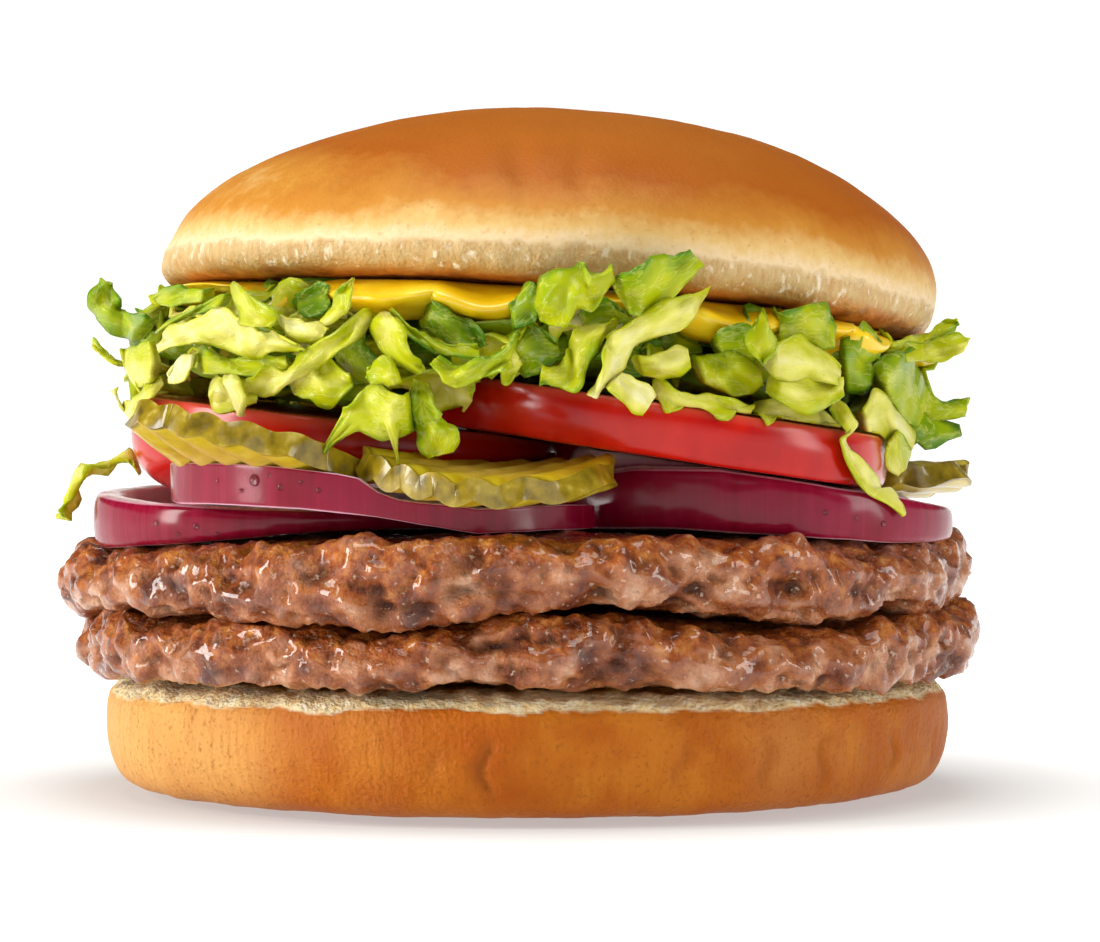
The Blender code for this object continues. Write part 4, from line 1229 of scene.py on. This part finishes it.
def eased_clear(points, rows, margin=0.35):
    """Moves a grid of points clear of the neighbours as a leaf gives way: each move is
    shared with the points round it, so that the leaf bends and doesn't crumple."""
    for _ in range(2):
        move = (pushed_clear(points, margin) - points).reshape(rows, -1, 3)
        for _ in range(3):
            wide = np.pad(move, ((1, 1), (1, 1), (0, 0)), mode="edge")
            round_it = wide[:-2, 1:-1] + wide[2:, 1:-1] + wide[1:-1, :-2] + wide[1:-1, 2:]
            move = 0.4 * move + 0.15 * round_it
        points = points + 1.25 * move.reshape(-1, 3)
    return pushed_clear(points, 0.15)


# %% The packed middle
HEAP_RADIUS, HEAP_FACE, HEAP_FLOOR = 40.0, 50.0, 43.5


def packed_middle():
    shares = (0.3, 0.6, 0.85)
    rings = [(2, 0)] + [(HEAP_RADIUS * s, 0) for s in shares] + [(HEAP_RADIUS - 2.5, 0.12)]
    rings += [(HEAP_RADIUS - 1, 0.5), (HEAP_RADIUS - 2.5, 0.88)]
    rings += [(HEAP_RADIUS * s, 1) for s in shares[::-1]] + [(2, 1)]
    piece = turned("lettuce_middle", rings, 48, 1)
    at = points_of(piece)
    share = at[:, 2].copy()
    scale = waves(np.arctan2(at[:, 1], at[:, 0]), [(0.03, 7, 1.0), (0.03, 11, 0.2)])
    at[:, 0] = at[:, 0] * scale + 1
    at[:, 1] = at[:, 1] * scale - 1
    for i, (x, y, _) in enumerate(at.tolist()):
        low = max(HEAP_FLOOR, floor_at(x, y, 7.5) + 0.8)
        high = max(low + 1.0, ceiling_at(x, y, 4.0) - 1.0)
        at[i, 2] = low + (high - low) * share[i]
    move_points(piece, at)
    smoothed(piece, 2)
    at, normal = points_of(piece), normals_of(piece)
    folds = np.abs(rough(at, 5, 3, 4.0, 2.0))
    move_points(piece, at + normal * (0.6 - 2.6 * folds)[:, None] * 0.8)
    # Dark green all over: painted shade for the inside of the heap.
    store(piece, "shade", 1.0 - 0.5 * folds)
    for name in ("rim", "along", "across", "kind"):
        store(piece, name, np.zeros(len(at)))
    return piece


# %% Flat strips to copy
LEAF_THICKNESS = 0.32


def flat_strip(name, long, across):
    """A strip, 1 mm long and wide, that shreds are copies of, and its points' places
    along it and across it, from 0 to 1."""
    bpy.ops.object.select_all(action="DESELECT")
    bpy.ops.mesh.primitive_grid_add(x_subdivisions=long, y_subdivisions=across, size=1 * MM)
    piece = bpy.context.object
    piece.name = name
    at = points_of(piece)[:, :2] + 0.5
    print(name, len(at), "points")
    return piece, at[:, 0], at[:, 1], across + 1


broad_strip = flat_strip("broad_strip", 44, 12)
narrow_strip = flat_strip("narrow_strip", 20, 6)


def copied(strip, points, shade, length, half, t):
    """A copy of a flat strip, at new places, with what its material reads."""
    piece = strip[0].copy()
    piece.data = strip[0].data.copy()
    bpy.context.scene.collection.objects.link(piece)
    move_points(piece, eased_clear(points, strip[3]))
    store(piece, "shade", np.clip(shade, 0, 1))
    store(piece, "rim", np.abs(t))
    store(piece, "along", strip[1] * length)
    store(piece, "across", np.abs(t) * half)
    store(piece, "kind", np.full(len(t), length * 3.7 % 9))
    return piece


# %% Crinkles
def crinkled(t, along, half, bulge, frill, rng):
    """How far a leaf rises at each point, t across it from -1 to 1, and how far its edges
    sway: a bow, a sharp fold, waves along it, and frills at its edges."""
    p, q, r = (rng.uniform(0, 6.28) for _ in range(3))
    fold, tilt = rng.uniform(-0.6, 0.6), rng.uniform(-0.8, 0.8)
    fringe = np.abs(t) ** 2.0 * np.where(t > 0, 1.0, rng.uniform(0.3, 0.9))
    crease = np.sqrt((t - fold) ** 2 + 0.006)
    rise = bulge * half * (0.4 * (1 - t**2) - 0.75 * crease) + tilt * half * t
    rise += 0.6 * np.sin(math.tau * along / rng.uniform(7, 11) + p + 2.2 * t)
    rise += 0.22 * np.sin(math.tau * along / rng.uniform(3.0, 4.4) + q + 3.4 * t)
    rise += 0.16 * half * np.sin(math.tau * along / rng.uniform(5, 8) - 3.5 * t + r)
    curl = math.tau * along / rng.uniform(4.0, 6.4)
    rise += (0.5 + 1.1 * frill) * fringe * np.sin(curl + r)
    sway = t * fringe * (0.26 + 0.42 * frill) * np.sin(0.9 * curl + q)
    sway += t * fringe * 0.10 * np.sin(2.3 * curl + p)
    return rise, sway


def shading(t, frill, rng):
    """A leaf is greener towards one edge, and pale along its rib."""
    greener = rng.choice((-1, 1)) * rng.uniform(0.04, 0.14)
    return greener * t - 0.10 * np.exp(-((t / 0.25) ** 2)) + 0.10 * frill * np.abs(t)


# %% A shred between the two edges that it shows
def smooth_route(route, shares):
    """Points on a smooth curve through the route's points, and its direction there."""
    route = np.asarray([list(p) for p in route], float)
    t = np.clip(shares, 0, 1) * (len(route) - 1)
    k = np.minimum(t.astype(int), len(route) - 2)
    u = (t - k)[:, None]
    before, start = route[np.maximum(k - 1, 0)], route[k]
    end, after = route[k + 1], route[np.minimum(k + 2, len(route) - 1)]
    c1, c2 = end - before, 2 * before - 5 * start + 4 * end - after
    c3 = 3 * start - before - 3 * end + after
    at = 0.5 * (2 * start + c1 * u + c2 * u**2 + c3 * u**3)
    way = 0.5 * (c1 + 2 * c2 * u + 3 * c3 * u**2)
    return at, way / (np.linalg.norm(way, axis=1)[:, None] + 1e-9)


def length_of(route):
    """The length of a route in millimetres."""
    return float(np.linalg.norm(np.diff(np.asarray(route, float), axis=0), axis=1).sum())


TUCKED = 6.0  # how far a shred's hidden end reaches into the heap


def front_shred(first, second, proud, bulge, shades, frill, rng):
    """A shred whose edges run through two lists of (X, Z) on the front of the heap."""
    _, u, s, _ = broad_strip
    t = 2 * s - 1
    a, way = smooth_route(first, u)
    b, _ = smooth_route(second, u * (1 - rng.uniform(0, 0.12)))
    half = np.linalg.norm(b - a, axis=1) / 2
    length = (length_of(first) + length_of(second)) / 2
    out, sway = crinkled(t, u * length, half, bulge, frill, rng)
    pinch = 1 - rng.uniform(0.1, 0.4) * smoothstep(0.75, 1.0, u) - 0.3 * smoothstep(0.12, 0.0, u)
    flat = (a + b) / 2 + (b - a) / 2 * (t * pinch)[:, None]
    flat += (b - a) / (2 * half[:, None] + 1e-9) * sway[:, None]
    x, z = flat[:, 0], flat[:, 1]
    out += proud - TUCKED * smoothstep(0.2, 0.0, u)
    depth = np.sqrt(np.maximum(64.0, HEAP_FACE**2 - x**2))
    points = np.stack([x, -depth - out, z], 1)
    shade = shades[0] + (shades[1] - shades[0]) * u + shading(t, frill, rng)
    return copied(broad_strip, points, shade, length, half, t)


# %% A shred along a route
def shred(route, width, roll, shade, ruffle, rng):
    """A shred bent along a route of points in millimetres."""
    _, u, s, _ = narrow_strip
    v = 2 * s - 1
    at, way = smooth_route(route, u)
    out = at * (1, 1, 0)
    out /= np.linalg.norm(out, axis=1)[:, None] + 1e-9
    across = np.cross(way, out)
    across /= np.linalg.norm(across, axis=1)[:, None] + 1e-9
    face = np.cross(across, way)
    twist = np.radians(roll) * (0.6 + 1.2 * u) + rng.uniform(-0.7, 0.7) * (u - 0.4)
    side = across * np.cos(twist)[:, None] + face * np.sin(twist)[:, None]
    lift = np.cross(side, way)
    length = length_of([list(r) for r in route])
    half = width / 2 * (0.6 + 0.4 * np.clip(u * 5, 0, 1)) * (1 - 0.35 * np.clip(u * 6 - 5, 0, 1))
    cup = rng.choice((-1, 1)) * rng.uniform(0.2, 0.6)
    rise, sway = crinkled(v, u * length, half, cup, ruffle, rng)
    slant = way * (rng.uniform(-0.5, 0.5) * half * v)[:, None]
    points = at + side * (half * v + sway)[:, None] + slant + lift * rise[:, None]
    shades = shade + 0.15 * (u - 0.5) + shading(v, ruffle, rng)
    return copied(narrow_strip, points, shades, length, half, v)


# %% [markdown]
# The onion is wet. A few droplets stand on its wall: one is modelled, and each of the
# others is a copy of it with its own mesh, set on the onion behind its (X, Z).

# %% Droplets on the onion
DROPLETS = [  # X and Z seen from the front, and radius, in millimetres
    (-32.0, 41.3, 0.75), (-30.2, 42.0, 0.3), (-33.6, 40.0, 0.35), (-28.9, 40.6, 0.4),
    (-26.4, 41.2, 0.3), (-24.3, 40.3, 0.35), (-36.6, 41.0, 0.3), (-44.5, 35.2, 0.35),
    (-41.8, 34.0, 0.3), (-39.6, 35.0, 0.4), (-37.0, 34.2, 0.3), (36.4, 37.0, 0.35),
    (40.2, 36.2, 0.3), (43.5, 35.4, 0.35),
]


def droplets():
    wall = tree_of(onions)
    bpy.ops.object.select_all(action="DESELECT")
    bpy.ops.mesh.primitive_uv_sphere_add(segments=20, ring_count=12, radius=1 * MM)
    first = bpy.context.object
    ball = points_of(first)
    drops = []
    for x, z, radius in DROPLETS:
        hit, normal, _, _ = wall.ray_cast(Vector((x, -80, z)), Vector((0, 1, 0)))
        if hit is None:
            continue
        drop = first.copy()
        drop.data = first.data.copy()
        bpy.context.scene.collection.objects.link(drop)
        turn = np.array(normal.to_track_quat("Z", "Y").to_matrix())
        move_points(drop, (ball * radius * (1, 1, 0.6)) @ turn.T + np.array(hit))
        drops.append(drop)
    bpy.data.objects.remove(first)
    only(drops[0])
    for drop in drops:
        drop.select_set(True)
    bpy.ops.object.join()
    piece = bpy.context.object
    piece.name = piece.data.name = "onion_droplets"
    bpy.ops.object.shade_smooth()
    made, _ = finish("water", Transmission_Weight=1.0, IOR=1.33, Roughness=0.02)
    print("droplets", len(drops))
    return dressed(piece, made, "onion_middle")


droplets()


# %% [markdown]
# The shreds that show at the front are placed one by one from the photo. The rest are
# strewn by chance with a fixed seed: a few more behind these, and the same kinds round
# the sides and the back.

# %% Shreds at the front
# The (X, Z) that each edge runs through, from where the shred comes out to its end, how
# far it stands proud, its bulge, its shade from pale 0 to dark 1 at its start and end, and
# how frilled it is
SHREDS = [
    ([(-47.5, 56), (-53.5, 59.5), (-53, 64.5)],
     [(-44.5, 60), (-49.5, 60.5), (-50.5, 63.5)], 0, 0.3, (0.78, 0.72), 0.5),
    ([(-37.5, 62.5), (-42, 61.5), (-45, 62)],
     [(-37.5, 63.5), (-41.5, 64), (-46, 62.5)], 1, 0.2, (0.62, 0.55), 0.2),
    ([(-36, 61.5), (-40, 60.5), (-45, 58)],
     [(-35, 63.5), (-38.5, 62), (-43.5, 59.5)], 2, 0.3, (0.72, 0.66), 0.3),
    ([(-35.5, 64), (-34, 61.5), (-34, 60), (-34, 59.5)],
     [(-34.5, 65), (-31.5, 62.5), (-29, 61), (-29, 59)], 5, 0.25, (0.6, 0.45), 0.1),
    ([(-44.5, 55.5), (-41, 57), (-37, 57), (-32.5, 55.5), (-29.5, 56.5), (-25.5, 56.5)],
     [(-45, 56.5), (-42.5, 59), (-36, 61.5), (-32.5, 59.5), (-29, 58.5), (-25.5, 57)], 3, 0.35, (0.18, 0.26), 0.2),
    ([(-28.5, 58.5), (-26.5, 57.5), (-24, 58)],
     [(-29.5, 60.5), (-26, 60.5), (-23, 59.5)], 2, 0.3, (0.22, 0.35), 0.1),
    ([(-20.5, 65.5), (-22, 64), (-22.5, 62.5), (-24.5, 60.5)],
     [(-20, 65), (-20.5, 63), (-21.5, 61), (-23, 59.5)], 3, -0.3, (0.48, 0.4), 0.1),
    # This shred, set back and darkest of all, stands for the dark hole inside a curled leaf: painted shade.
    ([(-27, 61), (-25, 60.5), (-23, 62)],
     [(-27.5, 63), (-25.5, 64.5), (-23, 64.5)], -3, -0.4, (0.95, 0.9), 0.1),
    ([(-18, 60), (-20, 58), (-24, 55), (-28, 52.5), (-31, 51), (-33, 50)],
     [(-17.5, 61.5), (-20, 61), (-25.5, 57), (-28.5, 54.5), (-31.5, 54.5), (-34, 52.5)], 2, 0.3, (0.42, 0.24), 0.2),
    ([(-28, 52), (-26, 51), (-23.5, 50), (-20, 52)],
     [(-28.5, 54), (-25.5, 55.5), (-23.5, 55.5), (-20.5, 54.5)], 1, 0.35, (0.34, 0.52), 0.2),
    ([(-38, 52), (-37, 49), (-32, 50)],
     [(-37, 53.5), (-34, 53), (-31.5, 51.5)], 2, 0.4, (0.32, 0.36), 0.2),
    ([(-40, 54.5), (-41, 52.5), (-43, 52)],
     [(-39.5, 56), (-41.5, 55.5), (-43.5, 53)], 1, 0.5, (0.05, 0.05), 0),
    ([(-44.5, 53), (-47.5, 51), (-49.5, 53)],
     [(-45, 56.5), (-47.5, 56.5), (-50, 55.5)], 0, 0.8, (0.34, 0.3), 0.2),
    ([(-50, 53), (-52, 54.5), (-53.5, 56)],
     [(-50, 54), (-52, 55.5), (-53.5, 57)], 0, 0.2, (0.45, 0.4), 0),
    ([(-44, 51.5), (-47, 49), (-48.5, 47), (-51, 50.5)],
     [(-44.5, 52.5), (-48, 50), (-50, 48.5), (-50.5, 51)], 1, 0.2, (0.3, 0.28), 0.1),
    ([(-40, 53.5), (-34, 53.5), (-28, 54)],
     [(-39.5, 56.5), (-34, 55.5), (-28, 56.5)], 0, 0.3, (0.58, 0.62), 0.3),
    ([(-36, 53.5), (-35, 51), (-34.5, 49)],
     [(-34.5, 53.5), (-33, 51), (-33, 48.5)], 6, 0.3, (0.14, 0.12), 0),
    ([(-17, 61.5), (-18, 59.5), (-16.5, 56.5), (-12.5, 54)],
     [(-15.5, 61.5), (-14, 59), (-12.5, 56), (-11, 54.5)], 3, 0.4, (0.36, 0.56), 0.1),
    ([(-16, 61), (-12.5, 58), (-9.5, 56.5), (-5, 56)],
     [(-16.5, 62.5), (-13.5, 60), (-10, 58), (-4.5, 57.5)], 1, -0.4, (0.66, 0.6), 0.1),
    ([(-12.5, 60), (-9.5, 58), (-5.5, 57)],
     [(-11.5, 63), (-7.5, 61.5), (-3.5, 57.5)], -2, 0.3, (0.82, 0.86), 0.2),
    ([(-0.5, 55.5), (-3, 54.5), (-7, 53), (-9.5, 53.5), (-11, 55.5)],
     [(-0.5, 59.5), (-2, 57.5), (-5.5, 56), (-7.5, 55.5), (-10.5, 57)], 5, -0.35, (0.66, 0.56), 0.15),
    ([(-15.5, 52.5), (-17, 52.5), (-17.5, 53), (-18.5, 54)],
     [(-14, 52.5), (-14.5, 55), (-16.5, 56), (-18.5, 54.5)], 5, 0.6, (0.55, 0.5), 0.5),
    ([(-12.5, 48), (-14.5, 46.5), (-18, 47), (-21.5, 48.5)],
     [(-13, 51.5), (-15.5, 52.5), (-18.5, 52.5), (-21.5, 50.5)], 6, 0.5, (0.5, 0.46), 0.6),
    ([(-13.5, 53.5), (-13, 49.5), (-12.5, 46.5), (-12, 44)],
     [(-10.5, 52.5), (-10, 49.5), (-8, 48), (-7, 45)], 4, 0.4, (0.66, 0.55), 0.3),
    ([(-23.5, 57.5), (-22, 55), (-19, 52.5)],
     [(-19, 59), (-18, 56.5), (-16, 54)], -3, 0.3, (0.72, 0.78), 0.2),
    ([(2.5, 60), (5, 60), (6.5, 62), (8.5, 62), (11, 65)],
     [(1, 62), (2.5, 65.5), (6.5, 67.5), (8, 66.5), (11.5, 68)], 5, 0.5, (0.54, 0.56), 0.35),
    ([(12, 62.5), (14, 61), (18, 63.5), (21.5, 67)],
     [(10.5, 65), (14, 67.5), (17.5, 68.5), (20.5, 69)], 6, -0.35, (0.74, 0.66), 0.15),
    ([(21, 62), (19.5, 60), (13.5, 57.5), (11.5, 54.5), (8.5, 51.5)],
     [(22.5, 64.5), (17.5, 63), (11, 59.5), (9, 54.5), (7.5, 50.5)], 5, 0.5, (0.34, 0.1), 0.1),
    ([(11, 59.5), (8.5, 57), (6.5, 52.5), (2, 53)],
     [(11.5, 61), (6, 59), (5, 56), (1.5, 55)], 4, 0.4, (0.52, 0.48), 0.3),
    ([(13.5, 54.5), (16.5, 53.5), (20, 54.5)],
     [(13, 56), (16.5, 57), (20, 57.5)], 4, 0.8, (0.4, 0.36), 0),
    ([(9.5, 53), (11.5, 51), (14, 49)],
     [(11.5, 54.5), (13.5, 54), (16, 52)], 6, 0.3, (0.12, 0.22), 0.1),
    ([(15.5, 50), (21, 49), (26.5, 48)],
     [(15.5, 53.5), (21, 51.5), (28.5, 50.5)], 1, 0.4, (0.4, 0.42), 0.1),
    ([(21, 53), (24.5, 51.5), (29, 51.5)],
     [(20, 56), (24.5, 56.5), (29, 55)], -1, 0.4, (0.46, 0.5), 0.2),
    ([(27, 48), (31.5, 47), (38.5, 46)], [(28, 50.5), (33.5, 50), (38, 48)], 1, 0.5, (0.36, 0.26), 0.1),
    ([(28.5, 61.5), (26.5, 58), (28.5, 55)],
     [(29, 61.5), (30, 57.5), (29, 55)], 5, 0.5, (0.6, 0.62), 0.1),
    ([(30, 57.5), (34, 57), (37.5, 56.5)],
     [(29.5, 60), (35.5, 62.5), (37.5, 59.5)], 2, 0.3, (0.64, 0.68), 0.3),
    ([(29, 54), (31.5, 53), (35, 52.5), (38, 52.5)],
     [(28.5, 56.5), (32.5, 58), (36, 57), (38.5, 54)], 5, 0.8, (0.18, 0.34), 0.6),
    ([(29, 51.5), (32.5, 49.5), (36, 49.5), (38.5, 51)],
     [(29.5, 53.5), (33, 53.5), (36.5, 53), (38.5, 53)], 6, 0.5, (0.32, 0.42), 0.6),
    ([(38.5, 51), (41.5, 51), (43, 53.5)],
     [(38, 58), (40.5, 58), (43.5, 55.5)], 0, 0.3, (0.8, 0.84), 0.2),
    ([(43, 51.5), (45.5, 49), (48, 46.5), (54.5, 47)],
     [(41.5, 54), (47.5, 56), (50.5, 50), (57, 50)], 3, 0.25, (0.7, 0.64), 0.15),
    ([(43, 55.5), (49.5, 55.5), (54, 58.5)],
     [(42.5, 57), (49, 57.5), (54, 60)], 1, 0.3, (0.56, 0.58), 0.1),
    ([(45.5, 55), (50, 54), (54, 55)], [(45, 56.5), (51, 57), (55.5, 57.5)], 3, 0.3, (0.5, 0.44), 0.2),
    ([(36.5, 49), (39, 46.5), (38, 45.5), (40.5, 40.5), (44, 36)],
     [(38.5, 51), (40, 47.5), (39, 45.5), (42.5, 41), (44.5, 37)], 7, 0.2, (0.42, 0.22), 0.05),
    ([(41, 45.5), (44.5, 45), (47.5, 43)],
     [(40.5, 48.5), (43.5, 51), (49.5, 44.5)], 2, 0.5, (0.26, 0.2), 0.5),
    ([(44.5, 45), (44, 42.5), (45.5, 40.5)],
     [(45.5, 47), (47, 44), (47, 41.5)], 4, 0.3, (0.4, 0.36), 0.1),
    ([(0, 53.5), (2, 54.5), (4.5, 56)], [(-2.5, 58), (0.5, 60), (4, 58.5)], 0, 0.3, (0.8, 0.76), 0.3),
    ([(-1.5, 59.5), (1, 60), (2, 61.5)], [(-2, 61.5), (0, 64.5), (1.5, 65)], -1, 0.3, (0.84, 0.8), 0.2),
    ([(7, 59.5), (10, 60), (13, 60)], [(6.5, 61.5), (9.5, 63), (12, 62)], -1, 0.3, (0.88, 0.86), 0.2),
    ([(23, 56), (26.5, 55.5), (28, 55)],
     [(22.5, 58.5), (25, 59.5), (28, 60)], 0, 0.3, (0.74, 0.72), 0.3),
    ([(-2.5, 53), (-1.5, 53), (0, 55.5)],
     [(-2.5, 57.5), (-1.5, 58), (-0.5, 56)], 3, 0.3, (0.5, 0.44), 0.1),]


def inside_heap(point):
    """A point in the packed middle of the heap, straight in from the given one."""
    inward = Vector((point.x, point.y, 0)).normalized() * (HEAP_RADIUS - 6)
    low = max(HEAP_FLOOR, floor_at(inward.x, inward.y, 7.5) + 1.0)
    high = ceiling_at(inward.x, inward.y, 4.0) - 1.0
    inward.z = min(max(point.z, low + 0.9), max(high - 0.9, low + 0.9))
    return inward


rng = random.Random(21)
front = [front_shred(*row, rng) for row in SHREDS]
wisp = [(-44, -4, 43.5), (-50, -3, 41.6), (-55.4, -3, 39.6), (-57.2, -4, 34.2)]
front.append(shred([Vector(p) for p in wisp], 1.7, 0, 0.3, 0.35, rng))
print("front shreds", len(front))


# %% Shreds strewn round the heap
def strewn(angle, rng, proud=(0.0, 3.5), raised=1.2):
    """A shred that comes out of the heap at an angle and lies along its face."""
    turn = Matrix.Rotation(angle, 3, "Z")
    reach = rng.uniform(42, 47)
    edge = turn @ Vector((reach - 3, 0, 0))
    low = max(HEAP_FLOOR, floor_at(edge.x, edge.y, 4.0))
    high = ceiling_at(edge.x * 0.86, edge.y * 0.86, 3.0)
    height = rng.uniform(low + raised, max(low + raised + 0.3, high - 1.0))
    sweep = rng.uniform(5, 13) * rng.choice((-1, 1))
    out = rng.uniform(*proud)
    start = turn @ Vector((reach - 5, 0, 0)) + Vector((0, 0, height))
    bend = turn @ Vector((reach + out, sweep * 0.45, rng.uniform(-1, 2) + height))
    drop = rng.uniform(-5 if raised < 2 else -0.5, 2.5)
    end = turn @ Vector((reach + out * 0.6, sweep, height + drop))
    shade = rng.choice((0.12, 0.25, 0.4, 0.5, 0.6, 0.7, 0.8, 0.92))
    return shred(
        [inside_heap(start), start, bend, end], rng.uniform(3.4, 6.8), rng.uniform(-40, 50),
        shade, rng.uniform(0.3, 0.9), rng,
    )


rng = random.Random(5)
behind_front = [
    strewn(math.radians(rng.uniform(190, 350)), rng, (-5.0, -2.0), 4.4) for _ in range(56)
]
around = [strewn(math.radians(rng.uniform(-12, 192)), rng) for _ in range(90)]
print("strewn shreds", len(behind_front), len(around))


# %% Joining the heap
def joined(name, shreds):
    """One mesh of many shreds, each as thick as a leaf."""
    only(shreds[0])
    for piece in shreds:
        piece.select_set(True)
    bpy.ops.object.join()
    piece = bpy.context.object
    piece.name = piece.data.name = name
    thick = piece.modifiers.new("thick", "SOLIDIFY")
    thick.thickness, thick.offset = LEAF_THICKNESS * MM, 0
    bpy.ops.object.modifier_apply(modifier="thick")
    bpy.ops.object.shade_smooth()
    return piece


iceberg = leaf()
heap = [packed_middle(), joined("lettuce_front", front + behind_front)]
heap.append(joined("lettuce_sides", around))
for piece in heap:
    dressed(piece, iceberg, "lettuce")
for strip in (broad_strip, narrow_strip):
    bpy.data.objects.remove(strip[0])


# %% The pieces listed under each slot
SLOTS = {
    "bun crust": ["bottom_bun_bread", "top_bun_bread"],
    "seared beef": ["beef_lower", "beef_upper"],
    "red onion": [piece.name for piece in onions],
    "tomato": [piece.name for piece in tomatoes],
    "pickle": [piece.name for piece in pickles],
    "lettuce": ["lettuce_middle", "lettuce_front", "lettuce_sides"],
    "mustard": ["mustard_spread"],
}
for slot, names in SLOTS.items():
    for name in names:
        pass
